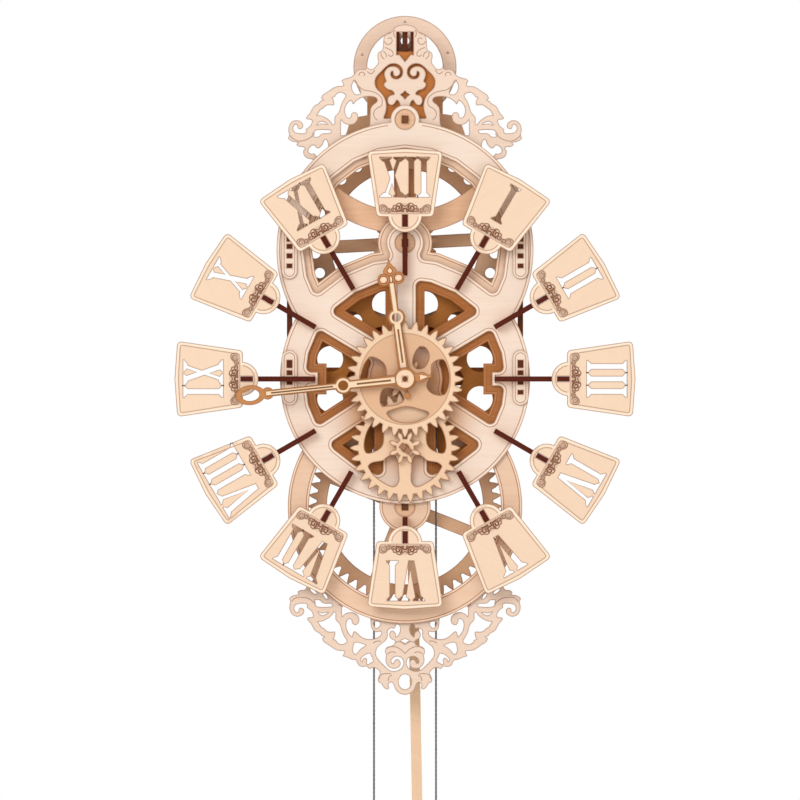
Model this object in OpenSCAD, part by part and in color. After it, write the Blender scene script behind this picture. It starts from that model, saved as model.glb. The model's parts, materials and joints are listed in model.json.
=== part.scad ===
// Wooden wall clock with its gear train in the open, cut from plywood sheets.
// Origin: the nail hole on the wall plane. +Y goes into the wall, +Z is up, the dial faces -Y.
// Flat shapes are drawn as seen from the front, with x to the right, y up and the hand axis at 0, 0.

/* [Stock] */
// Thickness of the plywood
ply_t = 3; // [2.6:0.1:3.4]
// Side clearance of a shaft in the hole that turns on it
run_gap = 0.05; // [0.03:0.01:0.08]
// Side clearance of a tenon in its slot
tenon_gap = 0.1; // [0.05:0.05:0.2]
// Air between two wheels along the arbors
layer_gap = 2; // [1.5:0.25:3]
// Radius of the steel arbors
arbor_r = 1.5; // [1:0.1:2]
// Corner radius of the sawn windows
corner_r = 3; // [1:0.5:4]

/* [Wall mount] */
// Radius of the nail hole
nail_r = 2.5; // [1.5:0.25:3]
// Height of the nail above the wall ring's centre
nail_rise = 15.5; // [12.5:0.5:17.5]
// Height of the wall ring's centre above the hand axis
wall_ring_rise = 181.5; // [179:0.5:183]
// Outer radius of the wall ring
wall_ring_r = 30; // [28:0.5:32]
// Width of the wall ring's band
wall_ring_band = 8; // [6:0.5:9]
// Half width of the bar inside the wall ring
wall_bar_half = 9; // [7.6:0.2:11]
// Space behind the back plate for the pendulum rod
rod_space = 7; // [6:0.5:9]

/* [Gears] */
// Gear module
gear_module = 2; // [1.9:0.05:2.1]
// Pressure angle of the teeth
pressure = 25; // [22:1:28]
// Height of a tooth above the pitch circle, in modules
addendum = 0.92; // [0.85:0.01:1]
// Depth of a tooth below the pitch circle, in modules
dedendum = 1.3; // [1.2:0.05:1.4]
// Play between two meshing teeth
backlash = 0.7; // [0.4:0.1:0.9]
// Teeth of the great wheel and of the third wheel
big_teeth = 62; // [60:1:62]
// Teeth of the pinion that the great wheel drives
bottom_pinion_teeth = 12; // [11:1:13]
// Teeth of the bottom wheel
bottom_teeth = 54; // [53:1:55]
// Teeth of the pinion that the third wheel drives
escape_pinion_teeth = 17; // [16:1:18]
// Teeth of the escape wheel
escape_teeth = 45; // [36:1:48]
// Tip radius of the escape wheel
escape_r = 62; // [60:0.5:62.5]
// Width of the escape wheel's rim
escape_rim = 19; // [17:0.5:21]
// Radius of the round gullets between the escape teeth
gullet_r = 3.2; // [2.5:0.1:3.4]
// Number of round holes in the escape wheel's rim
escape_holes = 28; // [24:1:30]
// Radius of the round holes in the escape wheel's rim
escape_hole_r = 3; // [2:0.1:3.6]
// Teeth of the cannon pinion
cannon_teeth = 10; // [9:1:11]
// Teeth of the minute wheel
minute_teeth = 30; // [29:1:31]
// Teeth of the pinion on the minute wheel
minute_pinion_teeth = 8; // [8:1:9]
// Width of the rim of the bottom wheel under its teeth
bottom_rim = 6; // [4:0.5:8]
// Width of the rims of the hour wheel and minute wheel under their teeth
small_rim = 3.6; // [3:0.2:5]
// Width of the wheel spokes
spoke_w = 7.5; // [5:0.5:9]

/* [Front frame] */
// Air between the big wheels and the side boards
side_gap = 1.7; // [1:0.1:2.5]
// How far the front plate reaches past the middle of the side boards
front_margin = 5.5; // [4.8:0.1:6.5]
// Inner radius of the lobe's band
lobe_window_r = 58; // [57:0.5:60]
// Height of the upper ring's centre above the hand axis
upper_rise = 75; // [74:0.5:76]
// How much wider the upper ring is than the lobe
upper_extra = 2; // [1:0.25:3]
// Inner radius of the upper ring
upper_window_r = 59; // [58:0.5:61]
// Width of the four arms
arm_w = 12; // [10:0.5:14]
// Half width of the centre column
column_half = 6.4; // [5:0.2:8]
// Radius of the plate's hub behind the hour wheel
hub_r = 22; // [18:1:25]
// Radius of the top hub disc
top_hub_r = 10.8; // [9:0.2:12]
// Radius of the boss at the anchor arbor
boss_r = 8.4; // [7.6:0.2:10]
// Radius of the round holes that show the arbor ends
eye_r = 5.8; // [5:0.1:6.4]
// Outer radius of the lower ring
lower_r = 68; // [66:0.5:69]
// Inner radius of the lower ring
lower_window_r = 55.7; // [54:0.5:57]
// Radius of the bottom hub
bottom_hub_r = 14.9; // [13:0.1:16]
// How far the inner frame shows inside the windows
inner_reveal = 5; // [3:0.5:6]
// Height of a side board
side_h = 32; // [28:1:34]
// Width of an oval escutcheon
oval_w = 9.2; // [8:0.2:10]
// Thickness of an oval escutcheon
oval_t = 1.5; // [1:0.1:2]

/* [Dial] */
// Radius of the plates' far edge
plate_far = 133; // [130:0.5:136]
// Radius of the plates' near edge
plate_near = 94; // [92:0.5:96]
// Width of a plate at its far edge
plate_far_w = 44; // [40:0.5:46]
// Width of a plate at its near edge
plate_near_w = 33; // [30:0.5:36]
// Corner radius of a plate
plate_corner = 2.5; // [1:0.25:4]
// Radius of the half-round tab
tab_r = 9.9; // [8:0.1:11]
// Depth of the tab below the near edge
tab_drop = 9; // [7:0.5:11]
// Height of the numerals
numeral_h = 23; // [18:0.5:24]
// Distance of the numerals' feet from the plate's near edge
numeral_lift = 11.5; // [9:0.5:13]
// Width of the thick strokes of the numerals
stroke_w = 2.8; // [2:0.1:3.4]
// Width of the thin strokes of the numerals
hair_w = 1.7; // [1.2:0.1:2.2]
// Radius at which the stems leave the front plate
stem_root = 60; // [59:0.5:62]
// Height of the plates' backs above the front plate
stem_rise = 9; // [8:0.5:10]

/* [Hands] */
// Length of the minute hand
minute_len = 98; // [90:1:99]
// Length of the hour hand
hour_len = 70.8; // [60:0.2:74]
// Angle of the minute hand, clockwise from twelve
minute_angle = 264; // [0:1:359]
// Angle of the hour hand, clockwise from twelve
hour_angle = 352; // [0:1:359]
// Thickness of a hand's stained base, and of its pale inlay
hand_t = 1.5; // [1:0.1:1.8]
// Width of a hand's base at its widest
hand_w = 6.6; // [5:0.2:8]
// Width of the inlay
inlay_w = 3.5; // [2.6:0.1:4]

/* [Pendulum and weights] */
// Height of the pendulum's pivot above the rim of the escape wheel
pivot_gap = 9.6; // [9.4:0.1:10]
// Distance from the anchor arbor to the middle of the bob
pendulum_len = 614; // [560:2:640]
// Lean of the rod in the photograph, to the right
pendulum_lean = 1.02; // [0:0.01:1.5]
// Width of the pendulum rod
rod_w = 6.1; // [5:0.1:8]
// Radius of the bob
bob_r = 28; // [20:1:32]
// Radius of the chain's path round the sprocket
chain_r = 18; // [17:0.1:18.5]
// Radius of the chain as a round cord
chain_wire_r = 0.65; // [0.5:0.05:0.8]
// Length of the right run from the sprocket to its weight
weight_run = 290; // [260:5:320]
// Length of the left run from the sprocket to its weight
counter_run = 440; // [430:5:480]
// Radius of the driving weight
weight_r = 14; // [10:0.5:15]
// Height of the driving weight
weight_h = 70; // [50:1:80]
// Radius of the counterweight
counter_r = 8; // [6:0.5:9]
// Height of the counterweight
counter_h = 34; // [20:1:40]

/* [Hidden] */
$fn = 72;

// Depths of the layers, measured out from the wall to the back of each board
d_rod = (rod_space + ply_t) / 2 - ply_t / 3;
d_back = ply_t + rod_space;
layer = ply_t + layer_gap;
d_escape = d_back + layer;
d_third = d_escape + layer;
d_bottom = d_third + layer;
d_great = d_bottom + layer;
d_ratchet = d_great + ply_t + 0.5;
d_sprocket = d_ratchet + ply_t;
sprocket_t = 5;
d_trim = d_sprocket + sprocket_t + 0.5;
d_inner = d_trim + ply_t;
d_front = d_inner + ply_t;
front_face = d_front + ply_t;
d_motion = front_face + ply_t;
d_hour = d_motion + layer;
d_dial = front_face + stem_rise;
d_hour_hand = d_hour + layer;
d_minute_hand = d_hour_hand + layer;
d_cap = d_minute_hand + 2 * hand_t;
d_chain = d_sprocket + sprocket_t / 2;

// Centre distances that follow from the teeth
function spread(a, b) = (a + b) * gear_module / 2;
bottom_z = -spread(big_teeth, bottom_pinion_teeth);
escape_z = spread(big_teeth, escape_pinion_teeth);
pivot_rise = escape_z + escape_r + pivot_gap;
hanger_drop = wall_ring_rise + nail_rise;
minute_z = -spread(minute_teeth, cannon_teeth);
bore_r = arbor_r + run_gap;
sleeve_r = arbor_r + 2.5;
eye_bush_r = eye_r - tenon_gap;

// Pinions whose teeth follow, because two pairs share each centre distance
third_pinion_teeth = big_teeth + bottom_pinion_teeth - bottom_teeth;
hour_teeth = cannon_teeth + minute_teeth - minute_pinion_teeth;

// Turn that puts a space of the lower wheel under the upper wheel's lowest tooth
function turn_below(upper, lower) = upper % 2 == 0 ? 180 / lower : 0;

// Sides of the frame, outside the big wheels
side_x = max((big_teeth / 2 + addendum) * gear_module, escape_r) + side_gap + ply_t / 2;
lobe_r = side_x + front_margin;
upper_r = lobe_r + upper_extra;

// Puts a flat shape on the clock as a board whose back lies d from the wall
module board(d, t = ply_t) {
  translate([0, -d, -hanger_drop]) rotate([90, 0, 0]) linear_extrude(t) children();
}

// A round bar along the arbors from depth d0 to d1, at x, y of the front view
module bar(x, y, d0, d1, r) {
  translate([x, -d0, y - hanger_drop]) rotate([90, 0, 0]) cylinder(h = d1 - d0, r = r);
}

// A square bar along the arbors
module square_bar(x, y, d0, d1, w, h) {
  translate([x - w / 2, -d1, y - h / 2 - hanger_drop]) cube([w, d1 - d0, h]);
}

// Copies a shape to the left
module both_sides() {
  children();
  mirror([1, 0, 0]) children();
}

// Rounds the outer corners of a flat shape
module rounded(r) {
  offset(r = r, $fn = 24) offset(delta = -r) children();
}

// A flat bar from the origin along angle a, shifted sideways
module spoke(a, w, r, shift = 0) {
  rotate(a) translate([0, shift - w / 2]) square([r, w]);
}

// Gear teeth with involute flanks
function involute(a) = tan(a) * 180 / PI - a;
function flank(r, base, half) = r <= base ? half : half - involute(acos(base / r));
function gear_outline(n) = let (
    pitch = n * gear_module / 2,
    base = pitch * cos(pressure),
    tip = pitch + addendum * gear_module,
    root = pitch - dedendum * gear_module,
    half = 90 / n - backlash / pitch * 45 / PI + involute(pressure),
    radii = [root, max(base, root + 0.3), (max(base, root) + tip) / 2, tip])
  [for (i = [0 : n - 1]) for (k = [0 : 7]) let (
    right = k < 4,
    r = radii[right ? k : 7 - k],
    a = 90 - i * 360 / n + (right ? 1 : -1) * flank(r, base, half))
    r * [cos(a), sin(a)]];
module gear(n, turn = 0) rotate(turn) polygon(gear_outline(n));
function gear_root(n) = n * gear_module / 2 - dedendum * gear_module;

// A smooth line through chosen points
function blend_point(a, b, c, d, t) = 0.5 * (2 * b + (c - a) * t
  + (2 * a - 5 * b + 4 * c - d) * t * t + (3 * b - a - 3 * c + d) * t * t * t);
function smooth_line(p, n = 3) = [for (i = [0 : len(p) - 2]) for (k = [0 : n - 1])
  blend_point(p[max(i - 1, 0)], p[i], p[i + 1], p[min(i + 2, len(p) - 1)], k / n),
  p[len(p) - 1]];

// A smooth closed outline through chosen points
function smooth_loop(p, n = 2) = [for (i = [0 : len(p) - 1]) for (k = [0 : n - 1])
  blend_point(p[(i + len(p) - 1) % len(p)], p[i], p[(i + 1) % len(p)], p[(i + 2) % len(p)], k / n)];

// Turns the wing of the apron over for the crest
function upside_down(p) = [for (q = p) [q[0] - crest_aside, crest_shift - q[1]]];

/* Wall side */

// Ring that lies on the wall, with the bar that takes the nail
module wall_ring() {
  color("#ecd3b8") difference() {
    board(0) translate([0, wall_ring_rise]) union() {
      difference() {
        circle(wall_ring_r);
        circle(wall_ring_r - wall_ring_band);
      }
      translate([-wall_bar_half, 2 - wall_ring_r])
        square([2 * wall_bar_half, 2 * wall_ring_r - 5]);
    }
    bar(0, hanger_drop, -1, ply_t + 1, nail_r);
  }
}

// Boards on edge that carry the crest: two from the wall ring, and a short one before the nail
board_x = nail_r + 0.7;
board_h = 27;
nail_space = 20;
module hanger_boards() {
  color("#a8643a") {
    both_sides()
      square_bar(board_x + ply_t / 2, wall_ring_rise + 7, ply_t, d_trim, ply_t, board_h);
    square_bar(0, wall_ring_rise + 7, ply_t + nail_space, d_trim, ply_t, board_h);
  }
}

// Spacers between wall ring and back plate, and the feet at the bottom
spacer_x = 16;
spacer_z = wall_ring_rise - sqrt(pow(wall_ring_r - wall_ring_band / 2, 2) - spacer_x * spacer_x);
foot_x = lower_r - 25;
foot_z = bottom_z - foot_x;
module wall_spacers() {
  color("#e0bd98") both_sides() {
    bar(spacer_x, spacer_z, ply_t, d_back, 3.5);
    bar(foot_x, foot_z, 0, d_back, 4);
  }
}

// Back plate with the rear bearings
back_r = side_x + 3.5;
module back_plate() {
  color("#d9b48c") difference() {
    board(d_back) union() {
      difference() {
        union() {
          circle(back_r);
          translate([0, upper_rise]) circle(back_r);
          translate([0, bottom_z]) circle(lower_r - 2);
        }
        rounded(corner_r) difference() {
          union() {
            circle(lobe_window_r + 2);
            translate([0, upper_rise]) circle(upper_window_r + 1);
            translate([0, bottom_z]) circle(lower_window_r + 1);
          }
          difference() {
            circle(back_r);
            circle(lobe_window_r + 2);
          }
          translate([-column_half, bottom_z]) square([2 * column_half, 300]);
          translate([-back_r, 3 - spoke_w / 2]) square([2 * back_r, spoke_w]);
          circle(14);
          translate([0, escape_z]) circle(10);
          translate([0, bottom_z]) circle(bottom_hub_r - 2);
        }
      }
      translate([-22, pivot_rise - 8]) square([44, spacer_z + 14 - pivot_rise]);
    }
    for (y = [0, bottom_z, escape_z, pivot_rise]) bar(0, y, d_back - 1, d_back + ply_t + 1, bore_r);
  }
}

/* Frame */

// Boards on edge between back plate and front plate, with tenons through the front
side_rises = [0.7, upper_rise - 1];
tenons = [[8, 4.2], [2.9, 2.4], [-2.6, 2.4], [-8.4, 2.2]];
module side_boards() {
  color("#9c5a30") both_sides() {
    square_bar(side_x, (side_rises[0] + side_rises[1]) / 2, d_back + ply_t, d_front, ply_t,
      side_rises[1] - side_rises[0] + side_h);
    for (z = side_rises) for (t = tenons)
      square_bar(side_x, z + t[0], d_front - 1, front_face + oval_t, ply_t, t[1]);
  }
}
module tenon_slots(d0, d1) {
  both_sides() for (z = side_rises) for (t = tenons)
    square_bar(side_x, z + t[0], d0, d1, ply_t + 2 * tenon_gap, t[1] + 2 * tenon_gap);
}

// Windows of the front plate inside the lobe
module lobe_windows() {
  rounded(corner_r) difference() {
    circle(lobe_window_r);
    both_sides() {
      spoke(31, arm_w, lobe_r, 5);
      spoke(-33, arm_w, lobe_r, -1.4);
      translate([50.5, -4]) square([lobe_r, 8]);
    }
    circle(hub_r);
    translate([-column_half, 0]) square([2 * column_half, lobe_r]);
    translate([-2 * column_half, -lobe_r]) square([4 * column_half, lobe_r]);
  }
}

// Window above the lobe, round the top hub
module upper_window() {
  rounded(corner_r) difference() {
    translate([0, upper_rise]) circle(upper_window_r);
    circle(lobe_r - 2);
    translate([0, escape_z]) circle(top_hub_r);
  }
}

// Plate that carries the dial and the hands
module front_plate() {
  color("#f0d8bd") difference() {
    board(d_front) difference() {
      union() {
        circle(lobe_r);
        translate([0, upper_rise]) circle(upper_r);
        translate([0, pivot_rise]) circle(boss_r);
      }
      lobe_windows();
      upper_window();
    }
    for (y = [escape_z, pivot_rise]) bar(0, y, d_front - 1, front_face + 1, eye_r);
    for (y = [0, minute_z]) bar(0, y, d_front - 1, front_face + 1, bore_r);
    tenon_slots(d_front - 1, front_face + 1);
  }
}

// Second board behind the front plate, with the lower ring and the bottom hub
inner_r = side_x - ply_t / 2 - 0.5;
module inner_frame() {
  color("#c98f5e") difference() {
    board(d_inner) union() {
      difference() {
        union() {
          circle(inner_r);
          translate([0, upper_rise]) circle(inner_r);
        }
        offset(delta = -inner_reveal) lobe_windows();
        offset(delta = -inner_reveal) upper_window();
      }
      difference() {
        translate([0, bottom_z]) circle(lower_r);
        translate([0, bottom_z]) circle(lower_window_r);
        circle(inner_r - 1);
      }
      translate([0, bottom_z]) circle(bottom_hub_r);
    }
    bar(0, bottom_z, d_inner - 1, d_front + 1, eye_r);
    for (y = [0, minute_z, escape_z]) bar(0, y, d_inner - 1, d_front + 1, bore_r + 0.5);
    bar(0, pivot_rise, d_inner - 1, d_front + 1, bore_r + 0.5);
  }
}

// Crescent across the upper window, on the inner frame's back
bridge_rise = 157.2;
bridge_r = 60;
bridge_w = 13;
module rear_bridge() {
  color("#e3c19d") board(d_trim) intersection() {
    translate([0, upper_rise]) circle(inner_r - 2);
    difference() {
      translate([0, bridge_rise]) circle(bridge_r + bridge_w);
      translate([0, bridge_rise]) circle(bridge_r);
    }
  }
}

// Slotted ovals over the side boards' tenons
module escutcheons() {
  color("#f0d8bd") difference() {
    board(front_face, oval_t) both_sides() for (z = side_rises) translate([side_x, z]) union() {
      square([oval_w, side_h - oval_w], center = true);
      for (s = [-1, 1]) translate([0, s * (side_h - oval_w) / 2]) circle(oval_w / 2);
    }
    tenon_slots(front_face - 1, front_face + oval_t + 1);
  }
}

// Bushes in the round holes, at the arbor ends
module arbor_bushes() {
  color("#e8cba8") for (p = [[escape_z, d_front], [pivot_rise, d_front], [bottom_z, d_inner]])
    difference() {
      bar(0, p[0], p[1], p[1] + ply_t - 0.8, eye_bush_r);
      bar(0, p[0], p[1] - 1, p[1] + ply_t + 1, bore_r);
    }
}

/* Crest and apron */

// Edge of the scrollwork's wing under the lower ring, from the ring's rim outwards, left half
wing_edge = [[-57.4, -121.2], [-58.4, -122.4], [-60.2, -122.5], [-61.8, -123.1], [-62.4, -124.1],
  [-61.6, -125], [-64, -125.4], [-66, -126.2], [-67.3, -127.6], [-66.5, -129.2], [-67, -131.2],
  [-67, -133.6], [-66.2, -135.9], [-64.6, -137.4], [-62.4, -138], [-60.2, -137.4], [-58.8, -136.1],
  [-58.5, -134.4], [-59.4, -133.1], [-60.7, -132.8], [-61.7, -133.5], [-61.8, -134.8],
  [-62.8, -135.5], [-63.9, -134.7], [-64.3, -133.1], [-63.8, -131.6], [-62.4, -130.7],
  [-60, -130.4], [-57.8, -130.4], [-56.8, -131.2], [-57, -132.6], [-55.8, -133.6], [-54.4, -134.8],
  [-53.6, -136.4], [-53.4, -137.8], [-54.6, -138.4], [-56.2, -138.5], [-56.8, -139.3],
  [-56, -140.6], [-54.6, -142.1], [-53.6, -144], [-52.4, -146], [-50.6, -147.2], [-49.4, -147.9],
  [-48.5, -149.1], [-47, -149.8], [-48, -150.5], [-47.8, -151.6], [-46.8, -153], [-44.6, -154.4],
  [-42.4, -155.9], [-40.4, -157.2], [-38, -157.8], [-35.7, -157.9], [-35.2, -159], [-36.2, -160.8]];
wing_windows = [
  [[-52.4, -128.5], [-49.6, -128.4], [-48.4, -129.7], [-46.4, -130.5], [-44, -130.4],
    [-42.5, -130.9], [-42.4, -132], [-44.6, -132.3], [-48, -132.4], [-51, -132.1], [-52, -131],
    [-51.9, -129.6]],
  [[-50.3, -135.4], [-49.2, -136.7], [-47.8, -137.2], [-46, -136.6], [-44.8, -135.7],
    [-46.4, -135.8], [-48, -136.1], [-49.4, -135.6]],
  [[-50.4, -141], [-49.3, -142.6], [-48.6, -143.9], [-47, -144.8], [-46, -145.8], [-44.8, -146.6],
    [-43, -146.8], [-40.7, -146.7], [-40.5, -148.4], [-41, -150.2], [-41.5, -151], [-40.2, -151.5],
    [-39.4, -152.8], [-38, -153.8], [-36.4, -154], [-34.8, -153.4], [-33.8, -152.3], [-34.5, -150.8],
    [-35.7, -148.8], [-36.7, -146.4], [-37.3, -144.2], [-38, -142.4], [-39.2, -141.1],
    [-40.2, -139.8], [-40.4, -138], [-40.3, -136.2], [-41.2, -135.4], [-42, -136.7], [-43.4, -138.1],
    [-45, -139.3], [-47.4, -140.5], [-49.4, -140.9]]];

// Edge and windows of the apron's middle, left half
apron_edge = [[-34.4, -161.4], [-32.4, -162.2], [-30.6, -163], [-28.8, -163.1], [-27.9, -164.4],
  [-27.3, -165.8], [-26, -166.8], [-24, -167.2], [-22.6, -166.7], [-21.6, -167.5], [-20.5, -168.4],
  [-19.4, -167.8], [-18, -167.6], [-16.2, -168.4], [-15, -169.5], [-14.5, -171], [-15.2, -172.6],
  [-15.8, -174.4], [-15.4, -176], [-13.9, -176.6], [-12.9, -178.3], [-11.6, -179.8], [-10, -180.2],
  [-9.2, -179.2], [-9.7, -177.9], [-9.2, -176.6], [-8, -176.1], [-7, -176.8], [-6.2, -178.4],
  [-5.6, -180.2], [-4.4, -181.6], [-2.6, -182.8], [0, -183.4]];
apron_windows = [
  [[-55, -121.5], [-53.4, -122.2], [-51.6, -123.8], [-51.5, -124.8], [-53, -124.4], [-54.6, -123]],
  [[-47.6, -124.6], [-46, -125], [-45.2, -126.4], [-44.9, -127.6], [-46, -127.4], [-46.9, -126.2]],
  [[-36.3, -131], [-33, -132.7], [-30, -134.2], [-27, -135.6], [-24, -136.8], [-21.6, -137.6],
    [-20.4, -138.4], [-20, -140], [-19.9, -142], [-19.6, -144], [-18.8, -145.7], [-17.4, -146.6],
    [-15.6, -146.9], [-14.2, -146.6], [-13.8, -147.6], [-14.4, -149], [-15.8, -150],
    [-17.6, -150.7], [-20, -151.1], [-22.4, -150.9], [-24.6, -150.1], [-26.6, -148.6],
    [-28.4, -146.9], [-29.6, -146.5], [-30.4, -147.8], [-30.7, -149.4], [-32, -148.4],
    [-33.2, -146.6], [-34, -144.2], [-34, -141.8], [-33.4, -140.1], [-32.2, -139.3],
    [-31, -139.8], [-30.9, -141.2], [-30, -142.5], [-28.7, -142.9], [-27.2, -142],
    [-26.5, -140.2], [-26.8, -138.2], [-28, -136.6], [-29.6, -135.7], [-31.4, -135.4],
    [-33.2, -135.6], [-35, -136.4], [-36.4, -137.7], [-36.6, -134.8]],
  [[-18.2, -141.3], [-17, -140.8], [-15.4, -140.9], [-14.4, -141.8], [-14.8, -143.4],
    [-15.8, -144.4], [-16.8, -144.5], [-17.7, -143.6], [-18.2, -142.4]],
  [[-29.5, -153.6], [-28.4, -153], [-26.6, -153.2], [-24.4, -153.9], [-22.9, -154.7],
    [-24.6, -155.8], [-26.4, -157.3], [-27.6, -158.7], [-28.7, -159.8], [-29.7, -159],
    [-30.2, -157.6], [-30, -155.4]],
  [[-20.4, -159.4], [-22.4, -159.8], [-24, -160.8], [-25.2, -162], [-25.7, -163.2], [-25, -163.9],
    [-24.6, -162.8], [-23.6, -162], [-22.4, -162.2], [-21.9, -163.6], [-22.3, -165],
    [-21.6, -165.7], [-20.6, -165.1], [-19.6, -164.5], [-18.7, -164.2], [-18.9, -162.4],
    [-19.7, -160.8]],
  [[-5, -142.6], [-3.6, -142.8], [-2.8, -144.6], [-3.1, -147], [-4.2, -148.9], [-5.2, -149.6],
    [-5.4, -148], [-6, -146.8], [-7.3, -146.1], [-8.6, -146.7], [-9.1, -148.4], [-8.7, -150.1],
    [-7.5, -151.2], [-6.2, -151.8], [-5.7, -152.8], [-6.4, -154.1], [-7.8, -154.9], [-9.6, -155.3],
    [-11, -156.2], [-11.6, -157.6], [-11.4, -159.2], [-10.9, -160.6], [-11.3, -162.2],
    [-11.1, -164.5], [-10, -166.6], [-8, -167.9], [-5.6, -168.2], [-3.6, -167.4], [-2.6, -165.8],
    [-2.8, -163.8], [-4.2, -162.7], [-5.6, -163], [-6.3, -164.1], [-7, -165.1], [-7.9, -164.4],
    [-7.7, -162.8], [-6.4, -161.6], [-4.6, -161.1], [-2.6, -161.6], [-1.2, -163.2], [-0.9, -165.4],
    [-1.8, -167.4], [-3.6, -168.9], [-6.2, -169.6], [-8.6, -169.2], [-10.6, -167.8],
    [-12.2, -166.2], [-13.8, -164.6], [-15.3, -162.9], [-16.5, -161.2], [-16.9, -159.2],
    [-16.5, -157], [-15.3, -155.1], [-13.5, -153.7], [-11.7, -152.3], [-10.4, -150.6],
    [-10, -148.6], [-10.1, -146.6], [-9.2, -145.2], [-7.8, -144.6], [-6.6, -144.9], [-5.7, -144.3]],
  [[-2.4, -151.9], [-1, -151.3], [0.4, -150.6], [0.4, -153.5], [-1, -152.8]]];

// A ring's band behind the scrollwork, seen below or above the height y
module ring_band(rise, outer, inner, y, up) {
  difference() {
    translate([0, rise]) circle(outer);
    translate([0, rise]) circle(inner);
    translate([-80, up ? y - 200 : y]) square([160, 200]);
  }
}

// Points inside the two rings where the scrollwork's outline closes
function on_ring(rise, r, angles) = [for (a = angles) [-r * sin(a), rise + r * cos(a)]];

// The scrollwork under the lower ring is drawn round a ring of this size and place, and follows it
drawn_r = 68;
drawn_drop = 74;
function round_ring(p) = [for (q = p)
  [q[0] * lower_r / drawn_r, bottom_z + (q[1] + drawn_drop) * lower_r / drawn_r]];

// Scrollwork hanging under the lower ring
apron_r = lower_r - 4;
ring_hole = [0, -175.8];
module apron_fretwork() {
  color("#eed4b6") board(d_trim) offset(delta = 0.02) difference() {
    union() {
      both_sides() difference() {
        polygon(concat(round_ring(smooth_line(concat(wing_edge, apron_edge), 2)),
          on_ring(bottom_z, apron_r, [180, 170, 160, 150, 141, 133, 128])));
        for (w = concat(wing_windows, apron_windows)) polygon(round_ring(smooth_loop(w)));
      }
      ring_band(bottom_z, lower_r - 1, lower_r - 7, -115, false);
    }
    translate(round_ring([ring_hole])[0]) scale([1, 1.18]) circle(3.7);
  }
}

// Outline of the stained board behind the crest
crest_half = [[0, 142], [14, 143], [14.2, 151], [13, 158], [14.4, 163], [18.2, 167.4],
  [19.6, 173], [18, 177.6], [14.4, 181.4], [11.6, 185], [8, 190], [0, 190]];
module crest_backing() {
  color("#cc7c3a") difference() {
    board(d_trim) offset(delta = 0.02) both_sides() polygon(smooth_line(crest_half, 3));
    bar(0, pivot_rise, d_trim - 1, d_inner + 1, bore_r + 0.5);
  }
}

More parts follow.
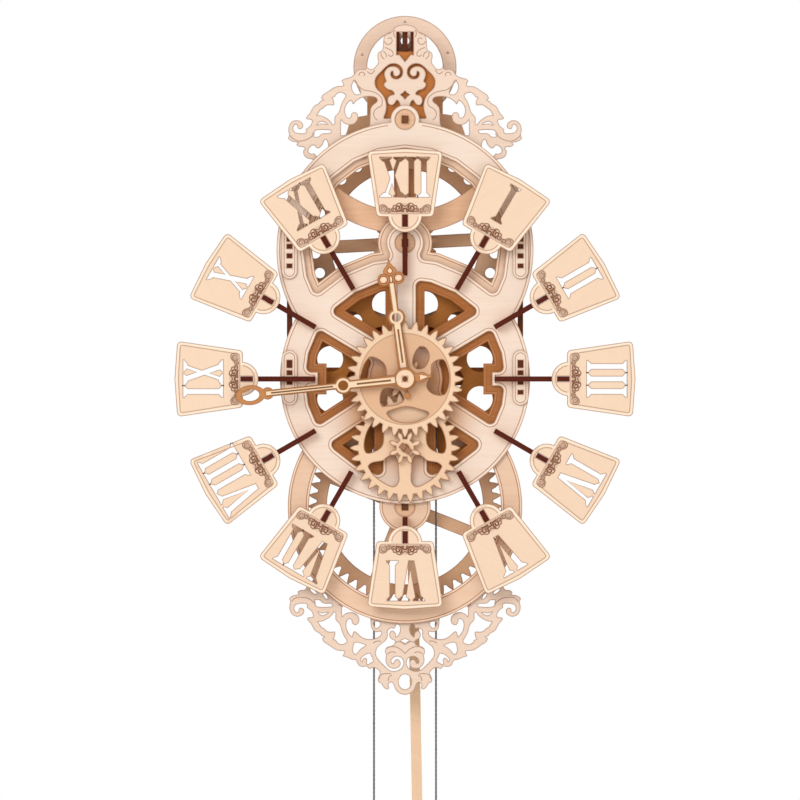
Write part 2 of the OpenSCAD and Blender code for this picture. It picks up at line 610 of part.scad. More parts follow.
// Edge and windows of the crest's foot and middle, left half
crest_foot = [[-52.6, 126.6], [-54.2, 127.6], [-56.4, 128], [-58.1, 129.1], [-59, 131],
  [-58.9, 132.8]];
crest_edge = [[-35, 174.3], [-32.5, 174.9], [-30.4, 176], [-29.2, 177.2], [-28.2, 178.8],
  [-26.6, 179.7], [-24.6, 179.9], [-23.2, 179.6], [-22, 180.8], [-20.4, 179.9], [-18.6, 179.9],
  [-17.2, 181.2], [-16.1, 182.6], [-15.5, 184], [-15.8, 186], [-16, 188], [-15.2, 189.7],
  [-13.7, 190.4], [-12.9, 192], [-12.7, 194.4], [-12.5, 197], [-11.9, 199.2], [-10.4, 200.3],
  [-8.7, 200.8], [-7.4, 202], [-6.2, 203.8], [-3.8, 205.2], [0, 205.8]];
crest_windows = [
  [[-51.4, 129.4], [-52.6, 130.9], [-54, 130.6], [-55.5, 131.2], [-56.2, 132.4], [-55.6, 134],
    [-54.2, 135.3], [-52.6, 135.6], [-51.7, 134.4], [-50.4, 133.8], [-48.9, 134.7], [-47.6, 136.4],
    [-46.9, 138.4], [-45.8, 138.8], [-44.9, 137.4], [-44.6, 135.4], [-44.6, 133.6], [-46.8, 131.6],
    [-49.2, 129.4]],
  [[-37, 141.4], [-33.6, 142.2], [-30, 143.5], [-26, 144.9], [-22.6, 146.1], [-20.9, 146.8],
    [-20.5, 149], [-20.3, 152], [-20.3, 155], [-19.9, 157.4], [-18.4, 159.4], [-16.6, 160.7],
    [-16.2, 162.3], [-17.6, 163.5], [-20, 163.9], [-22.6, 163.8], [-25, 163.3], [-27.2, 162.1],
    [-29, 160.6], [-29.9, 159.4], [-30.7, 160.4], [-31.2, 161.6], [-33, 160.4], [-34.3, 158.4],
    [-34.9, 156.2], [-34.6, 154], [-33.9, 152.4], [-32.8, 151.5], [-31.7, 151.9],
    [-31.4, 153.2], [-30.6, 154.5], [-29.2, 154.9], [-27.8, 154.2], [-27.2, 152.6],
    [-27.4, 150.6], [-28.5, 148.8], [-30, 147.8], [-32.2, 147.4], [-34.4, 147.9],
    [-36, 148.9], [-37, 150.2], [-37.1, 146]],
  [[-29, 173.2], [-28, 171.4], [-27, 169.6], [-26.1, 167.6], [-25.9, 165.8], [-27.2, 165.1],
    [-28.8, 165.3], [-30, 166.6], [-30.7, 168.4], [-30.8, 170.4], [-30, 172.4]],
  [[-10.4, 181.6], [-12, 180.2], [-13.7, 178.4], [-15.6, 176.5], [-17, 174.4], [-17.4, 172],
    [-16.9, 169.6], [-15.5, 167.7], [-13.6, 165.9], [-12.1, 163.7], [-11.1, 161.3], [-10.7, 159],
    [-10.8, 156.6], [-11.4, 154], [-12.2, 151.4], [-9.6, 151.3], [-7.3, 152], [-6.3, 153.8],
    [-5, 155.5], [-3.6, 157.1], [-3, 159], [-3.6, 160.9], [-4.7, 161.8], [-5.5, 160.6],
    [-6.8, 159.1], [-8.5, 158.9], [-9.8, 160], [-10.2, 161.9], [-9.6, 163.7], [-8.2, 164.7],
    [-6.4, 165.2], [-6.6, 166.3], [-7.8, 167.4], [-9.4, 167.8], [-11, 168.7], [-12.2, 170.2],
    [-12.1, 171.7], [-11, 172.8], [-11.5, 174.4], [-12, 176], [-12, 177.8], [-11, 179.8],
    [-9.4, 181], [-7.4, 181.5], [-5.2, 181.1], [-3.4, 179.9], [-2.7, 178.1], [-3.3, 176.5],
    [-4.6, 175.6], [-6, 175.8], [-6.9, 177], [-7, 178.4], [-7.9, 178.3], [-8.3, 176.6],
    [-7.4, 174.9], [-5.6, 174.1], [-3.6, 174.4], [-1.9, 175.9], [-1.3, 178.2], [-2, 180.6],
    [-3.8, 182.3], [-6.2, 183], [-8.6, 182.7]],
  [[0.4, 167.2], [-1, 166], [-2.5, 165], [-1.2, 163.9], [0.4, 162.3]]];

// Pale scrollwork over the upper ring, with the window before the hanger boards
crest_shift = 12.2;
crest_aside = 0.6;
crest_r = (inner_r + upper_r) / 2;
module crest_fretwork() {
  color("#f2dcc2") difference() {
    board(d_inner) offset(delta = 0.02) difference() {
      union() {
        both_sides() difference() {
          polygon(concat(smooth_line(concat(crest_foot, upside_down(wing_edge), crest_edge), 2),
            on_ring(upper_rise, crest_r, [0, 8, 16, 24, 32, 39, 45])));
          for (w = concat([for (v = wing_windows) upside_down(v)], crest_windows))
            polygon(smooth_loop(w));
        }
        ring_band(upper_rise, upper_r - 1, inner_r + 0.3, 122, true);
      }
      polygon([[-4.9, 188.2], [-3.2, 188.2], [0, 184.2], [3.2, 188.2], [4.9, 188.2],
        [4.9, 201.4], [-4.9, 201.4]]);
    }
    bar(0, pivot_rise, d_inner - 1, d_front + 1, bore_r + 0.5);
  }
}

/* Dial */

// Strokes of the numerals: feet at y = 0, heads at numeral_h
module serif(x, y, w) {
  up = y == 0 ? 1 : -1;
  polygon([[x - 3.3, y], [x + 3.3, y], [x + 3.3, y + 0.5 * up], [x + w / 2, y + 2.4 * up],
    [x - w / 2, y + 2.4 * up], [x - 3.3, y + 0.5 * up]]);
}
module leg(x0, x1, w) {
  polygon([[x0 - w / 2, 0], [x0 + w / 2, 0], [x1 + w / 2, numeral_h], [x1 - w / 2, numeral_h]]);
}
module letter_i() {
  leg(0, 0, stroke_w);
  serif(0, 0, stroke_w);
  serif(0, numeral_h, stroke_w);
}
module letter_v() {
  leg(0, -4.4, stroke_w * 1.05);
  leg(0.6, 4.4, hair_w);
  serif(-4.4, numeral_h, stroke_w);
  serif(4.4, numeral_h, hair_w);
}
module letter_x() {
  leg(4, -4, stroke_w * 1.05);
  leg(-4, 4, hair_w);
  for (s = [-1, 1]) {
    serif(4 * s, 0, s > 0 ? stroke_w : hair_w);
    serif(4 * s, numeral_h, s > 0 ? hair_w : stroke_w);
  }
}
i_step = 7.25;
wide_step = 14.6;
numerals = [[1], [1, 1], [1, 1, 1], [1, 5], [5], [5, 1], [5, 1, 1], [5, 1, 1, 1], [1, 10],
  [10], [10, 1], [10, 1, 1]];
function step_of(c) = c == 1 ? i_step : wide_step;
function run_length(word, n) = n < 0 ? 0 : step_of(word[n]) + run_length(word, n - 1);
module numeral(word) {
  total = run_length(word, len(word) - 1);
  for (i = [0 : len(word) - 1])
    translate([run_length(word, i) - step_of(word[i]) / 2 - total / 2, 0]) {
      if (word[i] == 1) letter_i();
      if (word[i] == 5) letter_v();
      if (word[i] == 10) letter_x();
    }
}

// One numeral plate at its place on the dial, 1 to 12
slot_r = plate_near - tab_drop + 3.4;
slot_h = 7;
module numeral_plate(k) {
  color("#f0d8bd") board(d_dial) rotate(-30 * k) difference() {
    union() {
      rounded(plate_corner) polygon([[-plate_near_w / 2, plate_near],
        [plate_near_w / 2, plate_near], [plate_far_w / 2, plate_far - 1],
        [0, plate_far + 0.6], [-plate_far_w / 2, plate_far - 1]]);
      translate([0, plate_near - tab_drop + tab_r]) circle(tab_r);
    }
    offset(delta = 0.02) translate([0, plate_near + numeral_lift]) numeral(numerals[k - 1]);
    translate([-ply_t / 2 - tenon_gap, slot_r - tenon_gap])
      square([ply_t + 2 * tenon_gap, slot_h + 2 * tenon_gap]);
  }
}

// Stems on edge: inner end and foot depth differ where the hands or hubs need room
function stem_start(k) = k == 6 ? 80 : (k == 3 || k == 9) ? 52 : (k == 5 || k == 7) ? 62 : stem_root;
function stem_foot(k) = k == 6 ? d_front : front_face;
function beside_oval(k) = k == 3 || k == 9;
function stem_seat(k) = beside_oval(k) ? side_x - oval_w / 2 - 0.3 - stem_start(k) : k == 6 ? 8 : 10;
function stem_step(k) = beside_oval(k) ? oval_t + 0.3 : 0;
stem_slope = 14;
module dial_stems() {
  color("#7c3c1c") for (k = [1 : 12])
    translate([0, 0, -hanger_drop]) rotate([0, 30 * k, 0]) rotate([90, 0, 90])
      linear_extrude(ply_t, center = true) polygon([
        [-stem_foot(k), stem_start(k)],
        [-stem_foot(k), stem_start(k) + stem_seat(k)],
        [-stem_foot(k) - stem_step(k), stem_start(k) + stem_seat(k)],
        [-d_dial + 2.5, slot_r + stem_slope / 2],
        [-d_dial + 2.5, slot_r + slot_h + 1],
        [-d_dial, slot_r + slot_h + 1],
        [-d_dial, slot_r + slot_h],
        [-d_dial - ply_t, slot_r + slot_h],
        [-d_dial - ply_t, slot_r],
        [-d_dial, slot_r],
        [-d_dial, stem_start(k)]]);
}

/* Going train */

// Great wheel, driven by the chain
great_holes = 12;
module great_wheel() {
  color("#c08a58") board(d_great) difference() {
    gear(big_teeth);
    for (i = [0 : great_holes - 1]) rotate(i * 360 / great_holes + 15)
      translate([0, 45]) circle(7.5);
    for (i = [0 : 5]) rotate(i * 60 + 30) translate([0, 28]) circle(6);
    circle(bore_r);
  }
  color("#c08a58") {
    bar(pawl_x, pawl_z, d_great + ply_t, d_ratchet + ply_t, pawl_pin_r);
    bar(pawl_x, pawl_z, d_ratchet + ply_t - 0.2, d_ratchet + ply_t + 0.6, pawl_pin_r + 0.8);
  }
}

// Steel arbor through the centre
module great_arbor() {
  color("#b8b8b8") bar(0, 0, d_back - 2, d_cap + 1, arbor_r);
}

// Pinion on the centre arbor, behind the hands
module cannon_pinion() {
  color("#e0bd98") difference() {
    union() {
      board(d_motion) gear(cannon_teeth);
      bar(0, 0, front_face + 0.3, d_motion, sleeve_r);
    }
    bar(0, 0, front_face - 1, d_hour, bore_r);
  }
}

// Outline of a hand from its hub: eye, blade and tip
module hand_blade(length, eye, w) {
  hull() {
    circle(w / 2);
    translate([0, eye]) circle(w * 0.36);
  }
  translate([0, eye]) circle(w * 0.78);
  hull() {
    translate([0, eye]) circle(w * 0.3);
    translate([0, length - 11]) circle(w * 0.3);
  }
}
module spade_tip(length, w) {
  polygon(smooth_line([[0, length], [w * 0.14, length - 3.5], [w * 0.5, length - 7.6],
    [w * 0.2, length - 10.6], [-w * 0.2, length - 10.6], [-w * 0.5, length - 7.6],
    [-w * 0.14, length - 3.5], [0, length]], 3));
}
module trefoil(y, r) {
  for (a = [-100, 0, 100]) translate([0, y]) rotate(a) translate([0, r * 0.8]) circle(r * 0.7, $fn = 20);
}
hub_disc_r = 6.6;
cap_r = 5.2;
eye_at = 36;

// Stained base of the minute hand, with its arrow tail
module minute_hand() {
  color("#c8874e") difference() {
    board(d_minute_hand, hand_t) rotate(-minute_angle) offset(delta = 0.01) difference() {
      union() {
        circle(hub_disc_r);
        hand_blade(minute_len - 4, eye_at, hand_w);
        translate([0, minute_len - 8]) scale([0.72, 1.08]) circle(8, $fn = 32);
        translate([0, minute_len - 18]) circle(3.6, $fn = 24);
        spade_tip(minute_len, 6);
        rotate(180) polygon(smooth_line([[-2.4, 3], [-2.2, 6], [-3.1, 10.4], [-1.2, 13.4],
          [0, 16.5], [1.2, 13.4], [3.1, 10.4], [2.2, 6], [2.4, 3]], 2));
      }
      translate([0, eye_at]) circle(2.9, $fn = 24);
      translate([0, minute_len - 8]) scale([0.72, 1.1]) circle(4.7, $fn = 28);
    }
    bar(0, 0, d_minute_hand - 1, d_cap, bore_r);
  }
}

// Pale slotted strip on the minute hand
module minute_hand_inlay() {
  color("#f2dcc2") board(d_minute_hand + hand_t, hand_t) rotate(-minute_angle)
    offset(delta = 0.01) difference() {
      union() {
        translate([-inlay_w / 2, cap_r + 0.5]) square([inlay_w, eye_at - cap_r]);
        translate([0, eye_at]) circle(4.2, $fn = 28);
        translate([-inlay_w / 2 + 0.6, eye_at]) square([inlay_w - 1.2, minute_len - eye_at - 17]);
        rotate(180) polygon([[-1.6, 8.7], [1.6, 8.7], [0.3, 13], [-0.3, 13]]);
      }
      translate([-0.5, cap_r + 3]) square([1, eye_at - cap_r - 11]);
      translate([0, eye_at]) circle(2.9, $fn = 24);
      translate([-0.4, eye_at + 6]) square([0.8, minute_len - eye_at - 26]);
    }
}

// Cap that holds the hands, with a square mark
module hub_cap() {
  color("#f0d8bd") difference() {
    bar(0, 0, d_cap - hand_t, d_cap + 1.5, cap_r);
    bar(0, 0, d_cap - 4, d_cap + 1.2, bore_r);
    square_bar(0, 0, d_cap + 1.2, d_cap + 2, 3.4, 3.4);
  }
}

// Pawl on the great wheel: its nose stands against the front of a ratchet tooth
ratchet_r = 20;
ratchet_depth = 3.2;
pawl_pin_r = 1.2;
pawl_x = 24;
pawl_z = 16;
pawl_nose = ratchet_r * cos(67.5) + 0.25;
module pawl() {
  color("#d9b48c") difference() {
    board(d_ratchet - 0.2, ply_t - 0.3) union() {
      translate([pawl_x, pawl_z]) circle(3.6);
      polygon([[pawl_nose, ratchet_r * 0.78], [pawl_nose, ratchet_r * 0.94],
        [pawl_x, pawl_z + 3.2], [pawl_x - 1.8, pawl_z - 2.8], [15, ratchet_r * 0.77]]);
    }
    bar(pawl_x, pawl_z, d_great, d_sprocket, pawl_pin_r + run_gap);
  }
}

// Ratchet wheel beside the sprocket
ratchet_teeth = 16;
module ratchet_wheel() {
  color("#e0bd98") board(d_ratchet) difference() {
    polygon([for (i = [0 : ratchet_teeth - 1]) for (k = [0, 1]) let (
      a = -i * 360 / ratchet_teeth - k * 4, r = ratchet_r - k * ratchet_depth)
      r * [cos(a), sin(a)]]);
    circle(bore_r);
  }
}

// Chain wheel: a disc with a round groove for the chain
groove_r = chain_r - chain_wire_r - 0.15;
module chain_sprocket() {
  color("#e8cba8") translate([0, -d_sprocket, -hanger_drop]) rotate([90, 0, 0])
    rotate_extrude() polygon([[bore_r, 0], [chain_r + 3, 0], [chain_r + 3, 0.9],
      [groove_r, 1.7], [groove_r, sprocket_t - 1.7], [chain_r + 3, sprocket_t - 0.9],
      [chain_r + 3, sprocket_t], [bore_r, sprocket_t]]);
}

// Length at which the spokes are cut off by the rims
spoke_reach = 60;

// Third wheel and its pinion run free on the centre arbor
module third_wheel() {
  color("#cfa274") board(d_third) difference() {
    gear(big_teeth);
    difference() {
      circle(gear_root(big_teeth) - bottom_rim);
      for (a = [0 : 60 : 300]) spoke(a, spoke_w, spoke_reach);
      circle(12);
    }
    circle(sleeve_r + run_gap);
  }
}
module third_pinion() {
  color("#e0bd98") difference() {
    union() {
      board(d_bottom) gear(third_pinion_teeth);
      bar(0, 0, d_back + ply_t + 0.4, d_bottom + 1, sleeve_r);
      bar(0, 0, d_bottom, d_great - 0.5, sleeve_r);
    }
    bar(0, 0, d_back, d_great, bore_r);
  }
}

// Bottom wheel, its pinion and arbor
module bottom_wheel() {
  color("#dcb890") board(d_bottom) translate([0, bottom_z]) difference() {
    gear(bottom_teeth, turn_below(third_pinion_teeth, bottom_teeth));
    difference() {
      circle(gear_root(bottom_teeth) - bottom_rim);
      for (a = [68.4 : 90 : 338.4]) spoke(a, spoke_w, spoke_reach);
      circle(11);
    }
    circle(bore_r);
  }
}
module bottom_pinion() {
  color("#e0bd98") difference() {
    union() {
      board(d_great) translate([0, bottom_z])
        gear(bottom_pinion_teeth, turn_below(big_teeth, bottom_pinion_teeth));
      bar(0, bottom_z, d_bottom + ply_t + 0.1, d_great + 1, sleeve_r);
    }
    bar(0, bottom_z, d_bottom, d_inner, bore_r);
  }
}

// An arbor with a square end that shows in the round hole
module ended_arbor(y, d0, d1, proud = 1.2) {
  bar(0, y, d0, d1 - 0.5, arbor_r);
  square_bar(0, y, d1 - 0.7, d1 + proud, 4, 4.6);
}
module bottom_arbor() {
  color("#b8b8b8") ended_arbor(bottom_z, d_back - 2, d_front, -0.1);
}

// Escape wheel with round gullets, its pinion and arbor
module escape_wheel() {
  color("#dcb890") board(d_escape) translate([0, escape_z]) difference() {
    circle(escape_r);
    for (i = [0 : escape_teeth - 1]) rotate((i + 0.5) * 360 / escape_teeth)
      translate([0, escape_r + 0.4]) circle(gullet_r);
    for (i = [0 : escape_holes - 1]) rotate((i + 0.5) * 360 / escape_holes)
      translate([0, escape_r - escape_rim / 2]) circle(escape_hole_r);
    difference() {
      circle(escape_r - escape_rim);
      for (a = [3, 93, 183, 273]) spoke(a, spoke_w, spoke_reach);
      circle(9);
    }
    circle(bore_r);
  }
}
module escape_pinion() {
  color("#e0bd98") difference() {
    union() {
      board(d_third) translate([0, escape_z])
        gear(escape_pinion_teeth, 180 / escape_pinion_teeth * (1 - escape_pinion_teeth % 2));
      bar(0, escape_z, d_escape + ply_t + 0.1, d_third + 1, sleeve_r);
      bar(0, escape_z, d_third + 1, d_bottom, sleeve_r + 1);
    }
    bar(0, escape_z, d_escape, d_great, bore_r);
  }
}
module escape_arbor() {
  color("#b8b8b8") ended_arbor(escape_z, d_back - 2, front_face);
}

/* Motion work */

// Stud on the front plate that the minute wheel turns on
module minute_stud() {
  color("#b8b8b8") {
    bar(0, minute_z, d_front, d_hour + ply_t + 0.6, arbor_r);
    bar(0, minute_z, d_hour + ply_t + 0.5, d_hour + ply_t + 1.5, arbor_r + 1);
    difference() {
      bar(0, minute_z, front_face, d_motion - 0.3, sleeve_r);
      bar(0, minute_z, front_face - 1, d_motion, arbor_r);
    }
  }
}
// Windows between the curved spokes, right half: beside the pinion and below it
minute_windows = [
  [[13.6, 15.6], [12.4, 8], [12.8, 2.6], [14.6, -0.2], [17.6, -2], [20.6, -2.9], [22.6, -2.3],
    [23.4, 1], [23, 5], [21.6, 9.6], [19.4, 13.2], [16.6, 16.4]],
  [[4.1, -9], [5.6, -5], [8, -4.4], [10.6, -5.7], [12.6, -7.4], [16, -8], [19, -8.7], [20.9, -10.4],
    [20.2, -12.2], [17.6, -15.9], [12.4, -19.8], [7.2, -22.2], [4.8, -21], [3.6, -18], [4, -13]]];
module minute_wheel() {
  scale_to = (gear_root(minute_teeth) - small_rim) / 23.6;
  color("#f2dcc2") board(d_motion) translate([0, minute_z]) difference() {
    gear(minute_teeth, turn_below(cannon_teeth, minute_teeth));
    both_sides() for (w = minute_windows) scale(scale_to) polygon(smooth_loop(w));
    circle(bore_r);
  }
}
module minute_pinion() {
  color("#f2dcc2") difference() {
    union() {
      board(d_hour) translate([0, minute_z])
        gear(minute_pinion_teeth, turn_below(hour_teeth, minute_pinion_teeth));
      bar(0, minute_z, d_motion + ply_t + 0.1, d_hour + 1, sleeve_r);
    }
    bar(0, minute_z, d_motion, d_hour + 5, bore_r);
  }
}
// Windows between the hour wheel's curved spokes, from the left one round to the top
hour_windows = [
  [[-25.4, -1.5], [-25, 3.6], [-23.4, 8.6], [-20.2, 12.6], [-16.6, 11.8], [-13, 9.6],
    [-11.3, 6.6], [-11, 2.5], [-11.8, -1.5], [-18, -2.4]],
  [[-3.2, -6.9], [-6, -6.1], [-9.6, -5.6], [-12.4, -6.2], [-13.9, -8.8], [-14.3, -12.4],
    [-13.3, -15.6], [-11.2, -15.6], [-6, -15], [-2, -13.4], [-0.8, -11.6], [-1.8, -9]],
  [[-10.4, -19.8], [-8.4, -18.4], [-4, -17], [0, -16.2], [4, -16.5], [8, -17.7], [12.6, -18.9],
    [13.6, -20.5], [11, -22.6], [6, -24.7], [1, -25.3], [-4, -24.7], [-8, -22.8]],
  [[22.2, 11], [24, 7.8], [25.3, 3], [25.4, -1.5], [24.6, -5.4], [22.8, -8.8], [18.4, -9.2],
    [14.4, -7.2], [12.8, -4], [14.2, 0], [15.6, 4], [15.6, 8], [18.4, 10.6]],
  [[7, 6], [4.6, 8.8], [5.4, 14], [8.6, 18.6], [12, 17.8], [13.8, 14.4], [13.4, 10.6],
    [11, 6.8]]];
module hour_wheel() {
  scale_to = (gear_root(hour_teeth) - small_rim) / 25.8;
  color("#f2dcc2") board(d_hour) difference() {
    gear(hour_teeth);
    for (w = hour_windows) scale(scale_to) polygon(smooth_loop(w));
    circle(sleeve_r + run_gap);
  }
}
module hour_pipe() {
  color("#e0bd98") difference() {
    bar(0, 0, d_hour - 0.8, d_minute_hand - 0.5, sleeve_r);
    bar(0, 0, d_hour - 2, d_minute_hand, bore_r);
  }
}
module hour_hand() {
  color("#c8874e") difference() {
    board(d_hour_hand, hand_t) rotate(-hour_angle) offset(delta = 0.01) difference() {
      union() {
        circle(hub_disc_r);
        hand_blade(hour_len, eye_at, hand_w);
        trefoil(59, 3.4);
        spade_tip(hour_len, 8);
        translate([-0.7, -9]) square([1.4, 4]);
        translate([0, -9.8]) circle(1.8, $fn = 24);
      }
      translate([0, eye_at]) circle(2.6, $fn = 24);
    }
    bar(0, 0, d_hour_hand - 1, d_minute_hand, sleeve_r + run_gap);
  }
}
module hour_hand_inlay() {
  color("#f2dcc2") board(d_hour_hand + hand_t, hand_t) rotate(-hour_angle)
    offset(delta = 0.01) difference() {
      union() {
        translate([-inlay_w / 2, hub_disc_r]) square([inlay_w, eye_at - hub_disc_r]);
        translate([0, eye_at]) circle(4, $fn = 28);
        translate([-inlay_w / 2 + 0.6, eye_at]) square([inlay_w - 1.2, 20]);
      }
      translate([-0.5, hub_disc_r + 3]) square([1, eye_at - hub_disc_r - 10]);
      translate([0, eye_at]) circle(2.6, $fn = 24);
    }
}

/* Escapement and pendulum */

// Anchor whose pallets stay just outside the tips of the escape teeth
pallet_clear = 3;
pallet_angle = acos(escape_r / (pivot_rise - escape_z));
pallet_at = (escape_r + pallet_clear) * [sin(pallet_angle), cos(pallet_angle)];
module anchor() {
  color("#d9b48c") difference() {
    board(d_escape) rotate_about([0, pivot_rise], pendulum_lean) offset(delta = 0.01) {
      translate([0, pivot_rise]) circle(9);
      both_sides() translate([0, escape_z]) polygon([
        pallet_at, pallet_at + [3.5, 2.6], pallet_at + [-1, 17],
        [6, pivot_rise - escape_z + 6], [0, pivot_rise - escape_z - 6]]);
    }
    bar(0, pivot_rise, d_escape - 1, d_third, bore_r);
  }
}
module rotate_about(p, a) {
  translate(p) rotate(a) translate(-p) children();
}
module anchor_arbor() {
  color("#b8b8b8") ended_arbor(pivot_rise, d_rod - 0.5, front_face);
}
module pendulum_rod() {
  color("#ecd0b0") difference() {
    board(d_rod) rotate_about([0, pivot_rise], pendulum_lean) union() {
      translate([0, pivot_rise]) circle(8);
      translate([-rod_w / 2, pivot_rise - pendulum_len - bob_r - 14])
        square([rod_w, pendulum_len + bob_r + 14]);
    }
    bar(0, pivot_rise, 0, d_back, bore_r);
  }
}
module pendulum_bob() {
  color("#cc9a66") board(d_rod + ply_t) rotate_about([0, pivot_rise], pendulum_lean)
    translate([0, pivot_rise - pendulum_len]) circle(bob_r);
}
module rating_nut() {
  color("#cfa050") board(d_rod + ply_t, 4) rotate_about([0, pivot_rise], pendulum_lean)
    translate([0, pivot_rise - pendulum_len - bob_r - 5]) circle(5);
}

/* Chain and weights */

// Chain over the sprocket
module chain_loop() {
  color("#8a8a8a") translate([0, -d_chain, -hanger_drop]) rotate([90, 0, 0])
    rotate_extrude(angle = 180) translate([chain_r, 0]) circle(chain_wire_r, $fn = 24);
}
module chain_run(x, length) {
  translate([x, -d_chain, -hanger_drop - length]) cylinder(h = length, r = chain_wire_r, $fn = 24);
}
module chain_run_right() color("#8a8a8a") chain_run(chain_r, weight_run);
module chain_run_left() color("#8a8a8a") chain_run(-chain_r, counter_run);

// A turned weight with its eye
eye_drop = 6;
module turned_weight(x, length, r, h) {
  translate([x, -d_chain, -hanger_drop - length - eye_drop - h]) {
    rotate_extrude() polygon([[0, 0], [r - 1.5, 0], [r, 1.5], [r, h - 5], [r - 1.5, h - 3.5],
      [r * 0.55, h - 2], [2, h], [0, h]]);
    translate([0, 0, h - 0.5]) cylinder(h = eye_drop + 0.5, r = 1.2);
  }
}
module drive_weight() color("#b98d4e") turned_weight(chain_r, weight_run, weight_r, weight_h);
module counterweight() color("#b98d4e") turned_weight(-chain_r, counter_run, counter_r, counter_h);

wall_ring();
hanger_boards();
wall_spacers();
back_plate();
side_boards();
inner_frame();
rear_bridge();
front_plate();
escutcheons();
crest_backing();
crest_fretwork();
apron_fretwork();
arbor_bushes();
dial_stems();
minute_stud();
chain_loop();
numeral_plate(1);  // numeral_plate_01
numeral_plate(2);  // numeral_plate_02
numeral_plate(3);  // numeral_plate_03
numeral_plate(4);  // numeral_plate_04
numeral_plate(5);  // numeral_plate_05
numeral_plate(6);  // numeral_plate_06
numeral_plate(7);  // numeral_plate_07
numeral_plate(8);  // numeral_plate_08
numeral_plate(9);  // numeral_plate_09
numeral_plate(10);  // numeral_plate_10
numeral_plate(11);  // numeral_plate_11
numeral_plate(12);  // numeral_plate_12
great_wheel();
great_arbor();
cannon_pinion();
minute_hand();
minute_hand_inlay();
hub_cap();
pawl();
ratchet_wheel();
chain_sprocket();
third_wheel();
third_pinion();
bottom_wheel();
bottom_pinion();
bottom_arbor();
escape_wheel();
escape_pinion();
escape_arbor();
minute_wheel();
minute_pinion();
hour_wheel();
hour_pipe();
hour_hand();
hour_hand_inlay();
anchor();
anchor_arbor();
pendulum_rod();
pendulum_bob();
rating_nut();
drive_weight();
chain_run_right();
counterweight();
chain_run_left();
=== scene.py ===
"""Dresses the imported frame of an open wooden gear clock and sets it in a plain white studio.

The boards come from the frame as they are. This file gives them their plywood, and adds the burnt
rims and engraved lines that the laser leaves, the lace on the numeral plates, the small work on the
hour hand and in the pinion, and the link chains. Drawn points are in millimetres in the front view,
x to the right and y up from the hand axis, which is HANDS_Z millimetres up from the nail hole.
"""

import json
import logging
import math
from dataclasses import dataclass, field, replace
from enum import Enum
from typing import ClassVar, Iterable, Optional, Sequence, Union

import bmesh
import bpy
import numpy as np
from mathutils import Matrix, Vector

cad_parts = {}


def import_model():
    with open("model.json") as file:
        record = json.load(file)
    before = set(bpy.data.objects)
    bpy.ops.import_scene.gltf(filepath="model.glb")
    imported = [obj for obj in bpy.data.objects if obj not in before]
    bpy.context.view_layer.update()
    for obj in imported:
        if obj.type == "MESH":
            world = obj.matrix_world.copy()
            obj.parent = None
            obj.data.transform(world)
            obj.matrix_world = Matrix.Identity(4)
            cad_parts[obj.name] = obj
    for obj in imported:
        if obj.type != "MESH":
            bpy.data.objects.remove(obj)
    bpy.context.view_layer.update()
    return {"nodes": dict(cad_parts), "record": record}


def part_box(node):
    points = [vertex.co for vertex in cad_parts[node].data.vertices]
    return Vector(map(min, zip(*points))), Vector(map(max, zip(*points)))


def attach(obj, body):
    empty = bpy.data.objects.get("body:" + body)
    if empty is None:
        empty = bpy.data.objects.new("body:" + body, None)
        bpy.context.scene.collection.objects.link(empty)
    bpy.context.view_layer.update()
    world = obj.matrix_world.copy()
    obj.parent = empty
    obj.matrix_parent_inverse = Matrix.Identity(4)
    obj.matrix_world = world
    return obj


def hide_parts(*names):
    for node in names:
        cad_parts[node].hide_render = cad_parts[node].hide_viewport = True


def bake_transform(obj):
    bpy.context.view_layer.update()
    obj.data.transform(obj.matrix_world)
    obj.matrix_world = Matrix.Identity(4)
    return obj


log = logging.getLogger("gear_clock")

Colour = tuple[float, float, float, float]
Point = tuple[float, float]
Triple = tuple[float, float, float]
Nodes = dict[str, bpy.types.Object]
Number = Union[int, float, "Wire"]

MM = 0.001
HANDS_Z = -197.0
HOUR_TURN = 30.0
CURL_STEPS = 18
PALE_GAP = 0.3
WHITE: Colour = (1.0, 1.0, 1.0, 1.0)


def ink(red: int, green: int, blue: int) -> Colour:
    """Turns a screen colour of 0 to 255 into the linear colour that a shader takes.

    Args:
        red: Red, 0 to 255.
        green: Green, 0 to 255.
        blue: Blue, 0 to 255.

    Returns:
        The linear colour with an alpha of 1.
    """
    def linear(value: int) -> float:
        """Undoes the screen's curve for one channel."""
        v = value / 255
        return v / 12.92 if v <= 0.04045 else ((v + 0.055) / 1.055) ** 2.4
    return linear(red), linear(green), linear(blue), 1.0


class Lay(Enum):
    """Which way a board's broad faces look."""

    FLAT = "faces to the front and back"
    ON_EDGE = "cut edge to the front"


